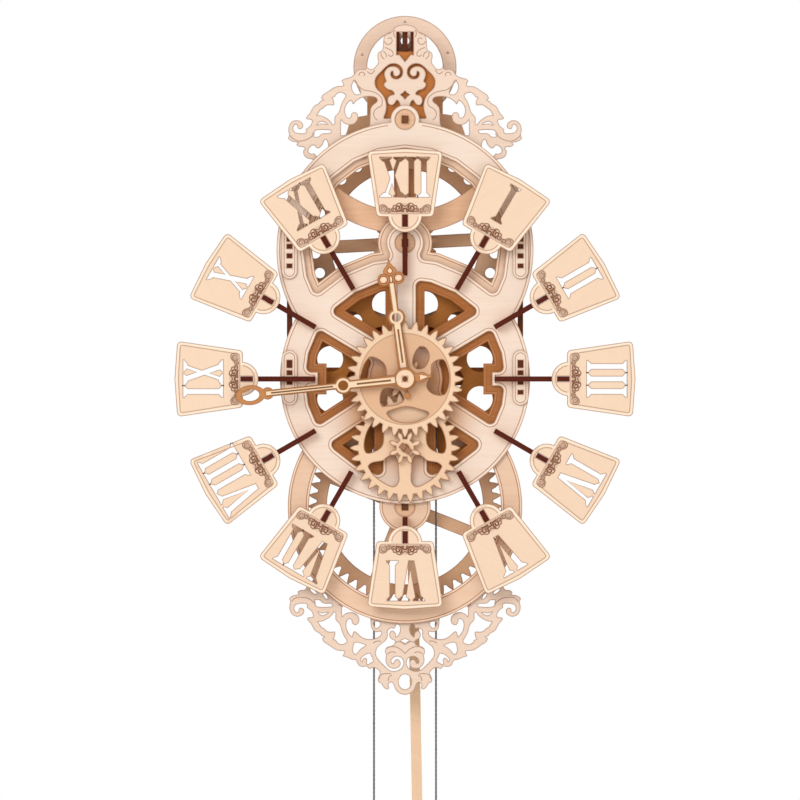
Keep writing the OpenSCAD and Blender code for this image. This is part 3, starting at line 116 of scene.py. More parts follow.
class Wire:
    """One output socket of a node tree, with arithmetic that adds Math nodes."""

    def __init__(self, sheet: "Sheet", socket: bpy.types.NodeSocket) -> None:
        """Keeps the socket and the sheet that new nodes go on."""
        self.sheet = sheet
        self.socket = socket

    def _math(self, operation: str, other: Optional[Number] = None,
              swapped: bool = False) -> "Wire":
        """Adds one Math node.

        Args:
            operation: The node's operation, such as ADD.
            other: The second value, where the operation has one.
            swapped: Whether the other value comes first.

        Returns:
            The node's result.
        """
        values: list[Number] = [self] if other is None else [self, other]
        if swapped:
            values.reverse()
        return self.sheet.add("ShaderNodeMath", {"operation": operation},
                              dict(enumerate(values)))[0]

    def __add__(self, other: Number) -> "Wire":
        """Sum."""
        return self._math("ADD", other)

    __radd__ = __add__

    def __sub__(self, other: Number) -> "Wire":
        """Difference."""
        return self._math("SUBTRACT", other)

    def __rsub__(self, other: Number) -> "Wire":
        """Difference with the socket second."""
        return self._math("SUBTRACT", other, swapped=True)

    def __mul__(self, other: Number) -> "Wire":
        """Product."""
        return self._math("MULTIPLY", other)

    __rmul__ = __mul__

    def __truediv__(self, other: Number) -> "Wire":
        """Quotient."""
        return self._math("DIVIDE", other)

    def __abs__(self) -> "Wire":
        """Size without the sign."""
        return self._math("ABSOLUTE")

    def fraction(self) -> "Wire":
        """What is left over whole numbers."""
        return self._math("FRACT")

    def larger(self, other: Number) -> "Wire":
        """The larger of two values."""
        return self._math("MAXIMUM", other)

    def ramp(self, low: float, high: float) -> "Wire":
        """Smooth step from 0 at low to 1 at high."""
        return self.sheet.add("ShaderNodeMapRange", {"interpolation_type": "SMOOTHSTEP"},
                              {"Value": self, "From Min": low, "From Max": high})[0]


class Sheet:
    """A node tree, with one method that adds any node."""

    def __init__(self, tree: bpy.types.NodeTree) -> None:
        """Empties the tree that the nodes go on."""
        self.tree = tree
        tree.nodes.clear()

    @classmethod
    def of(cls, owner: Union[bpy.types.Material, bpy.types.World]) -> "Sheet":
        """The emptied shader tree of a material or of the world."""
        owner.use_nodes = True
        return cls(owner.node_tree)

    def add(self, kind: str, settings: Optional[dict] = None,
            values: Optional[dict] = None) -> dict[Union[int, str], Wire]:
        """Adds a node, sets it up and fills its sockets.

        Args:
            kind: The node's type.
            settings: Properties that are set before the sockets.
            values: Numbers, colours or wires by socket name or number.

        Returns:
            The node's outputs, by number and by name.
        """
        node = self.tree.nodes.new(kind)
        for key, value in (settings or {}).items():
            setattr(node, key, value)
        for key, value in (values or {}).items():
            socket = node.inputs[key]
            if isinstance(value, Wire):
                self.tree.links.new(value.socket, socket)
            else:
                socket.default_value = value
        outputs: dict[Union[int, str], Wire] = {}
        for number, socket in enumerate(node.outputs):
            outputs[number] = outputs[socket.name] = Wire(self, socket)
        return outputs

    def mix(self, factor: Number, first: Union[Colour, Wire], second: Union[Colour, Wire]) -> Wire:
        """Mixes two colours, for which the node has the inputs 6 and 7 and the output 2.

        Args:
            factor: 0 for the first colour, 1 for the second.
            first: A colour or a wire.
            second: A colour or a wire.

        Returns:
            The mixed colour.
        """
        return self.add("ShaderNodeMix", {"data_type": "RGBA"},
                        {0: factor, 6: first, 7: second})[2]

    def stretched(self, vector: Wire, scale: Triple) -> Wire:
        """The vector times one number for each axis."""
        return self.add("ShaderNodeVectorMath", {"operation": "MULTIPLY"}, {0: vector, 1: scale})[0]

    def noise(self, vector: Wire, scale: float, detail: float = 3.0,
              roughness: float = 0.55) -> Wire:
        """Noise between 0 and 1 at a scale in waves per unit of the vector."""
        return self.add("ShaderNodeTexNoise", None, {"Vector": vector, "Scale": scale,
                                                    "Detail": detail, "Roughness": roughness})[0]

    def bump(self, height: Wire, strength: float, distance: float) -> Wire:
        """The normal that a height gives, with its strength and its depth in metres."""
        return self.add("ShaderNodeBump", None, {"Strength": strength, "Distance": distance,
                                                 "Height": height})[0]

    def finish(self, **values: Union[float, Colour, Wire]) -> None:
        """Closes the tree with a Principled shader.

        Args:
            **values: The shader's sockets, with underscores for spaces.
        """
        shader = self.add("ShaderNodeBsdfPrincipled", None,
                          {key.replace("_", " "): value for key, value in values.items()})[0]
        self.add("ShaderNodeOutputMaterial", None, {"Surface": shader})

    def choose(self, output: str, factor: Wire, first: Wire, second: Wire) -> None:
        """Closes the tree with a choice between two shaders.

        Args:
            output: The type of the output node.
            factor: 0 for the first shader, 1 for the second.
            first: A shader.
            second: A shader.
        """
        both = self.add("ShaderNodeMixShader", None, {0: factor, 1: first, 2: second})[0]
        self.add(output, None, {"Surface": both})


@dataclass(frozen=True)
class PaintedShadeDisc:
    """Painted shade about the hand axis, where boards deep in the works lie in shadow; lengths in
    metres.

    Its centre lies drop below the axis, its edge is soft to both sides, and line paints a darker
    line along that edge.
    """

    colour: Colour
    radius: float = 0.061
    drop: float = 0.0
    soft: float = 0.004
    line: float = 0.0

    def share(self, sheet: Sheet, place: Wire) -> Wire:
        """How far a point lies inside the painted shade.

        Args:
            sheet: The tree that the nodes go on.
            place: Object coordinates.

        Returns:
            1 inside the disc and 0 outside.
        """
        flat = sheet.stretched(place, (1.0, 0.0, 1.0))
        reach = sheet.add("ShaderNodeVectorMath", {"operation": "DISTANCE"},
                          {0: flat, 1: (0.0, 0.0, HANDS_Z * MM - self.drop)})["Value"]
        return 1.0 - reach.ramp(self.radius - self.soft, self.radius + self.soft)

    def rim(self, near: Wire) -> Wire:
        """How dark the painted line at the shade's edge is where a share is near, which peaks where
        that is a half.
        """
        return near * (1.0 - near) * (4.0 * self.line)


@dataclass(frozen=True)
class Plywood:
    """Laser-cut plywood: grained faces, burnt edges in plies, and scorch where a mesh has burn.

    The first values are waves a metre, plies a metre, and then the shares of streak, cloud and band
    in a face's tone, of streak, pores and char in the relief, and the roughness of bare wood with
    what streaks add and scorch takes away.
    """

    GRAIN: ClassVar[Triple] = (22.0, 300.0, 620.0)
    BANDS: ClassVar[Triple] = (3.0, 40.0, 70.0)
    CLOUDS: ClassVar[float] = 17.0
    CHAR: ClassVar[float] = 900.0
    PLIES: ClassVar[float] = 1000.0
    TONES: ClassVar[Triple] = (0.45, 0.3, 0.25)
    RELIEF: ClassVar[Triple] = (0.6, -0.5, 0.25)
    ROUGHNESS: ClassVar[Triple] = (0.62, 0.14, 0.08)
    PORES_ON_GRAIN: ClassVar[float] = 4.2
    PORE_TONE: ClassVar[float] = 0.22
    # Inside a disc of painted shade, TONE_INSIDE lets the grain's tone show through and PALE_INSIDE
    # is the share of the paler band kept.
    TONE_INSIDE: ClassVar[float] = 0.3
    PALE_INSIDE: ClassVar[float] = 0.12
    CHAR_TONE: ClassVar[float] = 0.35
    GLUE_TONE: ClassVar[float] = 0.3
    BURNT: ClassVar[Colour] = ink(62, 24, 10)

    name: str
    face: Colour
    shade: Colour
    edge: Colour = ink(132, 76, 42)
    scorch: Colour = ink(128, 72, 36)
    pale: Colour = ink(251, 234, 213)
    # inside: a disc of painted shade, for boards that lie in shadow deep in the works.
    inside: Optional[PaintedShadeDisc] = None
    square_end: float = 0.0
    lay: Lay = Lay.FLAT
    grain_turn: float = 0.0
    contrast: float = 0.5
    gloss: float = 0.16

    def build(self) -> bpy.types.Material:
        """Makes the material.

        Returns:
            The material, whose grain runs along X before grain_turn degrees about the arbors.
        """
        material = bpy.data.materials.new(self.name)
        sheet = Sheet.of(material)
        coordinates = sheet.add("ShaderNodeTexCoord")
        place = coordinates["Object"]
        burn = sheet.add("ShaderNodeAttribute", {"attribute_name": "burn"})["Fac"]
        burnt, paler = burn.larger(0.0), (0.0 - burn).larger(0.0)
        streak, pores, tone = self.grain(sheet, place)

        face = sheet.mix(tone, self.face, self.shade)
        # Paints shade over the face inside the disc, with a darker line at its edge where asked.
        if self.inside is not None:
            near = self.inside.share(sheet, place)
            face = sheet.mix(near * (1.0 - tone * self.TONE_INSIDE), face, self.inside.colour)
            paler = paler * (1.0 - near * (1.0 - self.PALE_INSIDE))
            if self.inside.line:
                face = sheet.mix(self.inside.rim(near), face, self.scorch)
        face = sheet.mix(pores * (self.PORE_TONE * self.contrast), face, self.scorch)

        where = sheet.add("ShaderNodeSeparateXYZ", None, {0: place})
        facing = abs(sheet.add("ShaderNodeSeparateXYZ", None, {0: coordinates["Normal"]})["Y"])
        is_face = facing.ramp(0.55, 0.8)
        if self.lay is Lay.ON_EDGE:
            is_face = 1.0 - facing.ramp(0.15, 0.4)
        glue = 1.0 - abs((where["Y"] * self.PLIES).fraction() - 0.5).ramp(0.02, 0.16)
        char = sheet.noise(place, self.CHAR, 2.0)
        dark = char.ramp(0.3, 0.7) * self.CHAR_TONE + glue * self.GLUE_TONE
        rim = sheet.mix(dark, self.edge, self.BURNT)
        body = sheet.mix(is_face, rim, face)
        body = sheet.mix(paler, body, self.pale)
        body = sheet.mix(burnt, body, self.scorch)
        if self.square_end:
            body = sheet.mix(self.square(where), body, self.scorch)

        raised, sunk, flaked = self.RELIEF
        relief = streak * raised + pores * sunk + char * flaked
        bare, rougher, smoother = self.ROUGHNESS
        sheet.finish(Base_Color=body, Roughness=bare + streak * rougher - burnt * smoother,
                     Normal=sheet.bump(relief, 0.16, 0.0002), Specular_IOR_Level=self.gloss)
        return material

    def grain(self, sheet: Sheet, place: Wire) -> tuple[Wire, Wire, Wire]:
        """Adds the grain of a broad face.

        Args:
            sheet: The tree that the nodes go on.
            place: Object coordinates.

        Returns:
            Fine streaks, pores, and the tone that runs from the face's colour to its shade.
        """
        turn = (0.0, math.radians(self.grain_turn), 0.0)
        turned = sheet.add("ShaderNodeMapping", None, {"Vector": place, "Rotation": turn})[0]
        along = sheet.stretched(turned, self.GRAIN)
        streak = sheet.noise(along, 1.0, 4.0, 0.62)
        pores = sheet.noise(along, self.PORES_ON_GRAIN, 2.0, 0.5).ramp(0.6, 0.78)
        cloud = sheet.noise(turned, self.CLOUDS, 2.0, 0.5).ramp(0.3, 0.7)
        band = sheet.noise(sheet.stretched(turned, self.BANDS), 1.0, 3.0, 0.6).ramp(0.35, 0.7)
        fine, soft, broad = self.TONES
        tone = (streak.ramp(0.3, 0.75) * fine + cloud * soft + band * broad) * self.contrast
        return streak, pores, tone

    def square(self, where: dict[Union[int, str], Wire]) -> Wire:
        """Draws the square end of an arbor on the hand axis.

        Args:
            where: Object coordinates, by axis.

        Returns:
            How dark its outline and its middle are.
        """
        reach = abs(where["X"]).larger(abs(where["Z"] - HANDS_Z * MM)) / self.square_end
        return (1.0 - reach.ramp(0.92, 1.08)) * 0.45 + (1.0 - reach.ramp(0.45, 0.6)) * 0.5


@dataclass(frozen=True)
class Metal:
    """Bare metal with fine scratches round or along a piece."""

    name: str
    colour: Colour
    dull: Colour
    roughness: float
    stretch: Triple = (900.0, 60.0, 900.0)

    def build(self) -> bpy.types.Material:
        """Makes the material.

        Returns:
            The material.
        """
        material = bpy.data.materials.new(self.name)
        sheet = Sheet.of(material)
        place = sheet.add("ShaderNodeTexCoord")["Object"]
        lines = sheet.noise(sheet.stretched(place, self.stretch), 1.0, 4.0, 0.6)
        patches = sheet.noise(place, 60.0, 3.0).ramp(0.35, 0.75)
        sheet.finish(Base_Color=sheet.mix(patches * 0.5 + lines * 0.25, self.colour, self.dull),
                     Metallic=1.0, Normal=sheet.bump(lines, 0.12, 0.0001),
                     Roughness=self.roughness + lines * 0.16 + patches * 0.1)
        return material


Finish = Union[Plywood, Metal]

RIM = ink(156, 88, 44)
PLATE = Plywood("plate_ply", ink(242, 216, 191), ink(234, 202, 173), scorch=ink(112, 52, 12),
                contrast=0.42)
CHAIN = Metal("chain_steel", ink(128, 126, 126), ink(86, 82, 80), 0.34, (400.0, 400.0, 400.0))


@dataclass
class Timber:
    """The finishes, which CAD nodes wear them, and the materials made so far."""

    worn: dict[str, Finish] = field(default_factory=lambda: {
        # The front plate's disc is painted shade round the hour and minute wheels, where they
        # shadow the plate.
        "front_plate escutcheons": Plywood(
            "front_ply", ink(244, 229, 215), ink(234, 206, 182), scorch=RIM, contrast=0.55,
            inside=PaintedShadeDisc(ink(206, 152, 108), radius=0.036, drop=0.017, soft=0.014)),
        # The inner frame's disc is painted shade on the window rims that lie deep in the works.
        "inner_frame": Plywood(
            "inner_ply", ink(240, 210, 184), ink(222, 180, 144), scorch=RIM,
            inside=PaintedShadeDisc(ink(168, 100, 38))),
        "rear_bridge arbor_bushes": Plywood(
            "bridge_ply", ink(242, 202, 168), ink(218, 168, 128), contrast=0.8),
        # The back plate's disc is painted shade where it lies deepest behind the works.
        "back_plate wall_spacers": Plywood(
            "back_ply", ink(238, 182, 132), ink(206, 146, 98), scorch=ink(78, 36, 12),
            inside=PaintedShadeDisc(ink(176, 106, 40), radius=0.066)),
        # Painted shade: the great and third wheels, deep in the works, wear a darker browner wood
        # that stands in for their shadow.
        "great_wheel third_wheel": Plywood(
            "drive_ply", ink(186, 120, 56), ink(152, 88, 34), scorch=ink(78, 38, 16),
            pale=ink(206, 156, 108), grain_turn=30.0),
        "bottom_wheel escape_wheel ratchet_wheel chain_sprocket pawl anchor third_pinion "
        "bottom_pinion escape_pinion cannon_pinion hour_pipe pendulum_bob": Plywood(
            "wheel_ply", ink(233, 193, 157), ink(212, 163, 121), grain_turn=18.0),
        "minute_wheel minute_pinion pendulum_rod": Plywood(
            "motion_ply", ink(240, 208, 176), ink(224, 180, 142), grain_turn=-24.0),
        # The hour wheel's disc is painted shade inside its rim, with a painted darker line at the
        # rim's inner edge.
        "hour_wheel": Plywood(
            "dial_wheel_ply", ink(243, 214, 184), ink(228, 188, 150), grain_turn=-24.0,
            inside=PaintedShadeDisc(ink(224, 182, 146), radius=0.0264, soft=0.0006, line=0.45)),
        "hub_cap": Plywood("cap_ply", ink(244, 216, 186), ink(232, 194, 158), square_end=0.002),
        "crest_fretwork apron_fretwork": Plywood(
            "fret_ply", ink(238, 217, 200), ink(226, 196, 172), contrast=0.45),
        "wall_ring": Plywood("wall_ply", ink(252, 228, 208), ink(240, 206, 180), contrast=0.7),
        # The crest backing wears a darker orange wood than the fretwork in front of it.
        "crest_backing": Plywood(
            "stained_ply", ink(206, 130, 68), ink(178, 102, 46), scorch=ink(96, 48, 22),
            contrast=0.8),
        "minute_hand hour_hand": Plywood(
            "hand_ply", ink(203, 143, 92), ink(180, 118, 68), scorch=ink(112, 60, 28),
            pale=ink(250, 224, 198), contrast=0.7),
        "minute_hand_inlay hour_hand_inlay": Plywood(
            "inlay_ply", ink(247, 223, 192), ink(232, 194, 154)),
        "dial_stems": Plywood(
            "stem_ply", ink(206, 150, 108), ink(176, 116, 74), edge=ink(88, 26, 8),
            lay=Lay.ON_EDGE),
        "side_boards hanger_boards": Plywood(
            "upright_ply", ink(180, 120, 80), ink(150, 92, 56), edge=ink(104, 50, 26),
            lay=Lay.ON_EDGE),
        "minute_stud": Plywood("peg_ply", ink(150, 92, 52), ink(112, 62, 32), edge=ink(96, 50, 26)),
        "rating_nut chain_loop chain_run_right chain_run_left": Metal(
            "drawn_steel", ink(150, 150, 152), ink(112, 110, 108), 0.28),
        "great_arbor bottom_arbor escape_arbor anchor_arbor": Metal(
            "browned_steel", ink(104, 66, 42), ink(66, 38, 22), 0.42),
        "drive_weight counterweight": Metal(
            "turned_brass", ink(214, 170, 92), ink(170, 122, 56), 0.24, (60.0, 60.0, 900.0)),
    })
    made: dict[str, bpy.types.Material] = field(default_factory=dict)

    def of(self, finish: Finish) -> bpy.types.Material:
        """Builds a finish once.

        Args:
            finish: The finish.

        Returns:
            Its material.
        """
        if finish.name not in self.made:
            self.made[finish.name] = finish.build()
        return self.made[finish.name]

    def on(self, node: str) -> bpy.types.Material:
        """The material that a CAD node wears.

        Args:
            node: The node's name.

        Returns:
            The material, with the grain turned for each numeral plate.
        """
        if node.startswith("numeral_plate_"):
            hour = node[-2:]
            turn = HOUR_TURN * int(hour)
            return self.of(replace(PLATE, name=f"plate_ply_{hour}", grain_turn=turn))
        return self.of(next(finish for names, finish in self.worn.items() if node in names.split()))

    def dress(self, nodes: Nodes) -> None:
        """Puts its material on the whole of every CAD node.

        Args:
            nodes: The frame's nodes by name.
        """
        for name, obj in nodes.items():
            material = self.on(name)
            if not obj.material_slots:
                obj.data.materials.append(material)
            for slot in obj.material_slots:
                slot.material = material
            log.info("%s wears %s", name, material.name)


def stand(name: str, data: bpy.types.ID) -> bpy.types.Object:
    """Makes an object of a mesh, curve, lamp or camera at the origin and puts it in the scene.

    Args:
        name: The object's name.
        data: What it shows.

    Returns:
        The object.
    """
    obj = bpy.data.objects.new(name, data)
    bpy.context.collection.objects.link(obj)
    return obj


def closed_mesh(name: str, bm: bmesh.types.BMesh) -> bpy.types.Mesh:
    """Turns a closed bmesh into a mesh whose faces look outwards, and frees it.

    Args:
        name: The mesh's name.
        bm: The shape.

    Returns:
        The mesh.
    """
    mesh = bpy.data.meshes.new(name)
    bmesh.ops.recalc_face_normals(bm, faces=bm.faces)
    bm.to_mesh(mesh)
    bm.free()
    return mesh


def on_clock(points: Iterable[Point], turn: float) -> list[Point]:
    """Turns points clockwise about the hand axis.

    Args:
        points: The points.
        turn: Degrees clockwise.

    Returns:
        The turned points.
    """
    c, s = math.cos(math.radians(turn)), math.sin(math.radians(turn))
    return [(x * c + y * s, y * c - x * s) for x, y in points]


def smooth(points: Sequence[Point], steps: int = 5) -> list[Point]:
    """Runs a soft curve through chosen points.

    Args:
        points: The points.
        steps: Parts between two points.

    Returns:
        The curve's points.
    """
    p = [Vector((x, y, 0)) for x, y in points]
    out: list[Point] = []
    for i in range(len(p) - 1):
        a, b, c, d = p[max(i - 1, 0)], p[i], p[i + 1], p[min(i + 2, len(p) - 1)]
        for k in range(steps):
            t = k / steps
            v = 0.5 * (2 * b + (c - a) * t + (2 * a - 5 * b + 4 * c - d) * t * t
                       + (3 * b - a - 3 * c + d) * t ** 3)
            out.append((v.x, v.y))
    out.append((p[-1].x, p[-1].y))
    return out


def curl(x: float, y: float, radius: float, start: float, turns: float,
         inner: float = 0.25) -> list[Point]:
    """A spiral from its outer end inwards.

    Args:
        x: Centre.
        y: Centre.
        radius: Outer radius.
        start: Direction of the outer end, in degrees.
        turns: Turns, negative for clockwise.
        inner: Share of the radius that is left at the inner end.

    Returns:
        The spiral's points.
    """
    count = max(8, int(abs(turns) * CURL_STEPS))
    out: list[Point] = []
    for i in range(count + 1):
        t = i / count
        a = math.radians(start + turns * 360 * t)
        r = radius * (1 - (1 - inner) * t)
        out.append((x + r * math.cos(a), y + r * math.sin(a)))
    return out


def ellipse(centre: Point, half: Point, count: int = 28) -> list[Point]:
    """Points round an ellipse from its centre and half sizes, clockwise."""
    return [(centre[0] + half[0] * math.cos(a), centre[1] + half[1] * math.sin(a))
            for a in np.linspace(0, -2 * math.pi, count, endpoint=False)]


class Scorch:
    """Ribbons laid a hair above a board's face, whose burn attribute darkens the board's finish.

    Burn runs from 0 to 1, and below 0 the wood is paler. Levels are steps above the face, so that
    lines can cross.
    """

    LIFT = 0.02
    STEP = 0.015

    def __init__(self, name: str, depth: float) -> None:
        """Starts an empty piece.

        Args:
            name: The piece's name.
            depth: How far the board's front face stands off the wall, in millimetres.
        """
        self.name = name
        self.depth = depth
        self.points: list[Triple] = []
        self.burn: list[float] = []
        self.faces: list[tuple[int, ...]] = []

    def ribbon(self, rows: Sequence[tuple[Sequence[Point], float]], closed: bool,
               level: int = 0) -> None:
        """Adds faces between rows of points.

        Args:
            rows: Rows of equal length, from left to right along the way, each with its burn.
            closed: Whether the last point joins the first.
            level: Its level above the face.
        """
        first = len(self.points)
        count = len(rows[0][0])
        depth = -(self.depth + self.LIFT + self.STEP * level)
        for points, burn in rows:
            self.points += [(x, depth, y) for x, y in points]
            self.burn += [burn] * count
        for row in range(len(rows) - 1):
            for i in range(count if closed else count - 1):
                a, b = first + row * count + i, first + row * count + (i + 1) % count
                self.faces.append((a, a + count, b + count, b))

    def stroke(self, points: Sequence[Point], width: float, burn: float, closed: bool = False,
               level: int = 2, core: float = 0.4) -> None:
        """Draws a soft line.

        Args:
            points: The line's points.
            width: Its whole width in millimetres.
            burn: How dark its middle is.
            closed: Whether it returns to its start.
            level: Its level above the face.
            core: Share of the width that has the full burn.
        """
        p = np.array(points, dtype=float)
        ahead = np.roll(p, -1, axis=0) if closed else np.vstack([p[1:], 2 * p[-1] - p[-2]])
        behind = np.roll(p, 1, axis=0) if closed else np.vstack([2 * p[0] - p[1], p[:-1]])
        along = ahead - behind
        along /= np.maximum(np.linalg.norm(along, axis=1, keepdims=True), 1e-9)
        left = np.stack([-along[:, 1], along[:, 0]], axis=1) * width / 2
        self.ribbon([((p + left * share).tolist(), dark) for share, dark in
                     ((1.0, 0.0), (core, burn), (-core, burn), (-1.0, 0.0))], closed, level)

    def make(self, body: str, material: bpy.types.Material) -> None:
        """Turns the ribbons into an object, if there are any.

        Args:
            body: The body that it rides on.
            material: The board's material.
        """
        if not self.faces:
            return
        mesh = bpy.data.meshes.new(self.name)
        mesh.from_pydata([(x * MM, y * MM, (z + HANDS_Z) * MM) for x, y, z in self.points], [],
                         self.faces)
        mesh.attributes.new("burn", "FLOAT", "POINT").data.foreach_set("value", self.burn)
        mesh.materials.append(material)
        bm = bmesh.new()
        bm.from_mesh(mesh)
        bmesh.ops.reverse_faces(bm, faces=[f for f in bm.faces if f.normal.y > 0])
        bm.to_mesh(mesh)
        bm.free()
        obj = stand(self.name, mesh)
        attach(obj, body)
        log.info("piece %s: %d faces on %s", self.name, len(self.faces), body)


class Outline:
    """A board's front face, read from the frame as closed loops with the wood on their left.

    A face looks forward where its normal's y is below FORWARD, and is foremost within SLACK. A loop
    counts from SMALLEST on, and as the widest above the share WIDEST. A band counts as clear of
    other cuts within TOUCH, a line within HAIR, and a line breaks at BREAK. NARROW is the share of
    the scorch's width that the paler band keeps where the wood is too narrow for it. The rows give
    shares of a band's width, from the wood towards the cut, with their burn.
    """

    FORWARD = -0.99
    SLACK = 0.02
    SMALLEST = 3.0
    WIDEST = 0.98
    TOUCH = 0.1
    HAIR = 0.03
    BREAK = 5.0
    NARROW = 0.6
    RIM_ROWS = ((1.0, 0.0), (0.35, 0.6), (0.0, 1.0))
    PALE_ROWS = ((1.0, -0.2), (0.8, -0.85), (0.25, -0.85))

    def __init__(self, obj: bpy.types.Object) -> None:
        """Reads the loops.

        Args:
            obj: The frame's node. It isn't changed.
        """
        bm = bmesh.new()
        bm.from_mesh(obj.data)
        bmesh.ops.remove_doubles(bm, verts=bm.verts, dist=1e-6)
        bm.normal_update()
        fronts = [f for f in bm.faces if f.normal.y < self.FORWARD]
        self.depth = -min(min(v.co.y for v in f.verts) for f in fronts) / MM
        chosen = {f for f in fronts
                  if abs(-f.calc_center_median().y / MM - self.depth) < self.SLACK}
        following: dict[int, int] = {}
        place: dict[int, Point] = {}
        for face in chosen:
            for loop in face.loops:
                if any(other in chosen for other in loop.edge.link_faces if other is not face):
                    continue
                following[loop.vert.index] = loop.link_loop_next.vert.index
                place[loop.vert.index] = (loop.vert.co.x / MM, loop.vert.co.z / MM - HANDS_Z)
        bm.free()
        self.loops: list[np.ndarray] = []
        while following:
            start, here = next(iter(following.items()))
            ring = [start]
            del following[start]
            while here != start and here in following:
                ring.append(here)
                here = following.pop(here)
            if len(ring) > 2:
                self.loops.append(np.array([place[i] for i in ring]))

    @staticmethod
    def length(loop: np.ndarray) -> float:
        """Length round a loop in millimetres."""
        return float(np.linalg.norm(loop - np.roll(loop, 1, axis=0), axis=1).sum())

    @staticmethod
    def shifted(loop: np.ndarray, inset: Union[float, np.ndarray]) -> np.ndarray:
        """Moves a loop into the wood.

        Args:
            loop: The loop.
            inset: How far, in millimetres, for all points or for each.

        Returns:
            The moved points, mitred at the corners.
        """
        step = np.roll(loop, -1, axis=0) - loop
        step /= np.maximum(np.linalg.norm(step, axis=1, keepdims=True), 1e-9)
        normal = np.stack([-step[:, 1], step[:, 0]], axis=1)
        before = np.roll(normal, 1, axis=0)
        scale = np.clip(1 + (normal * before).sum(axis=1, keepdims=True), 0.35, 2.0)
        return loop + (normal + before) / scale * np.reshape(inset, (-1, 1))

    @staticmethod
    def dense(loop: np.ndarray, step: float = 2.5) -> np.ndarray:
        """Adds points on long edges.

        Args:
            loop: The loop.
            step: The longest edge that stays whole, in millimetres.

        Returns:
            The loop with no longer edges.
        """
        out: list[np.ndarray] = []
        for a, b in zip(loop, np.roll(loop, -1, axis=0)):
            pieces = max(1, int(math.ceil(float(np.linalg.norm(b - a)) / step)))
            out += [a + (b - a) * i / pieces for i in range(pieces)]
        return np.array(out)

    def clearance(self, points: np.ndarray) -> np.ndarray:
        """Distance from each point to the nearest edge of the face.

        Args:
            points: The points.

        Returns:
            One distance for each point.
        """
        best = np.full(len(points), np.inf)
        for a in self.loops:
            d = np.roll(a, -1, axis=0) - a
            square = np.maximum((d * d).sum(axis=1), 1e-12)
            t = ((points[:, None, :] - a[None]) * d[None]).sum(axis=2) / square[None]
            near = a[None] + np.clip(t, 0, 1)[..., None] * d[None]
            best = np.minimum(best, np.linalg.norm(points[:, None, :] - near, axis=2).min(axis=1))
        return best

    def scorch_rims(self, piece: Scorch, width: float, burn: float, pale: float,
                    shortest: float = 90.0) -> None:
        """Darkens the face along every cut, with a paler band beside it where asked.

        Args:
            piece: Where the ribbons go.
            width: How far the scorch reaches, in millimetres.
            burn: How dark it is at the cut.
            pale: Width of the paler band, or 0.
            shortest: Loops shorter than this get no paler band, but the widest always do.
        """
        spans = [float(np.ptp(loop, axis=0).prod()) for loop in self.loops]
        widest = self.WIDEST * max(spans)
        for loop, span in zip(self.loops, spans):
            long = self.length(loop)
            if long < self.SMALLEST:
                continue
            piece.ribbon([(self.shifted(loop, width * share).tolist(), burn * dark)
                          for share, dark in self.RIM_ROWS], True, 1)
            if not pale or (long < shortest and span < widest):
                continue
            fine = self.dense(loop)
            free = self.clearance(self.shifted(fine, pale)) > pale - self.TOUCH
            free = free & np.roll(free, 1) & np.roll(free, -1)
            reach = np.where(free, pale, width * self.NARROW)
            piece.ribbon([(self.shifted(fine, reach * share).tolist(), light)
                          for share, light in self.PALE_ROWS], True)

    def engrave_border(self, piece: Scorch, inset: float, width: float = 0.75, burn: float = 0.72,
                       shortest: float = 40.0) -> None:
        """Engraves a line that follows the edges and breaks where the wood is too narrow.

        Args:
            piece: Where the lines go.
            inset: Distance of the line from the edge, in millimetres.
            width: The line's width.
            burn: How dark it is.
            shortest: Loops shorter than this get none.
        """
        for loop in self.loops:
            if self.length(loop) < shortest:
                continue
            moved = self.shifted(self.dense(loop), inset)
            runs: list[list[Point]] = []
            for x, y in moved[self.clearance(moved) > inset - self.HAIR].tolist():
                if not runs or math.dist(runs[-1][-1], (x, y)) >= self.BREAK:
                    runs.append([])
                runs[-1].append((x, y))
            if len(runs) > 1 and math.dist(runs[-1][-1], runs[0][0]) < self.BREAK:
                runs[0] = runs.pop() + runs[0]
            for line in runs:
                if len(line) > 3:
                    piece.stroke(line, width, burn, math.dist(line[0], line[-1]) < self.BREAK)


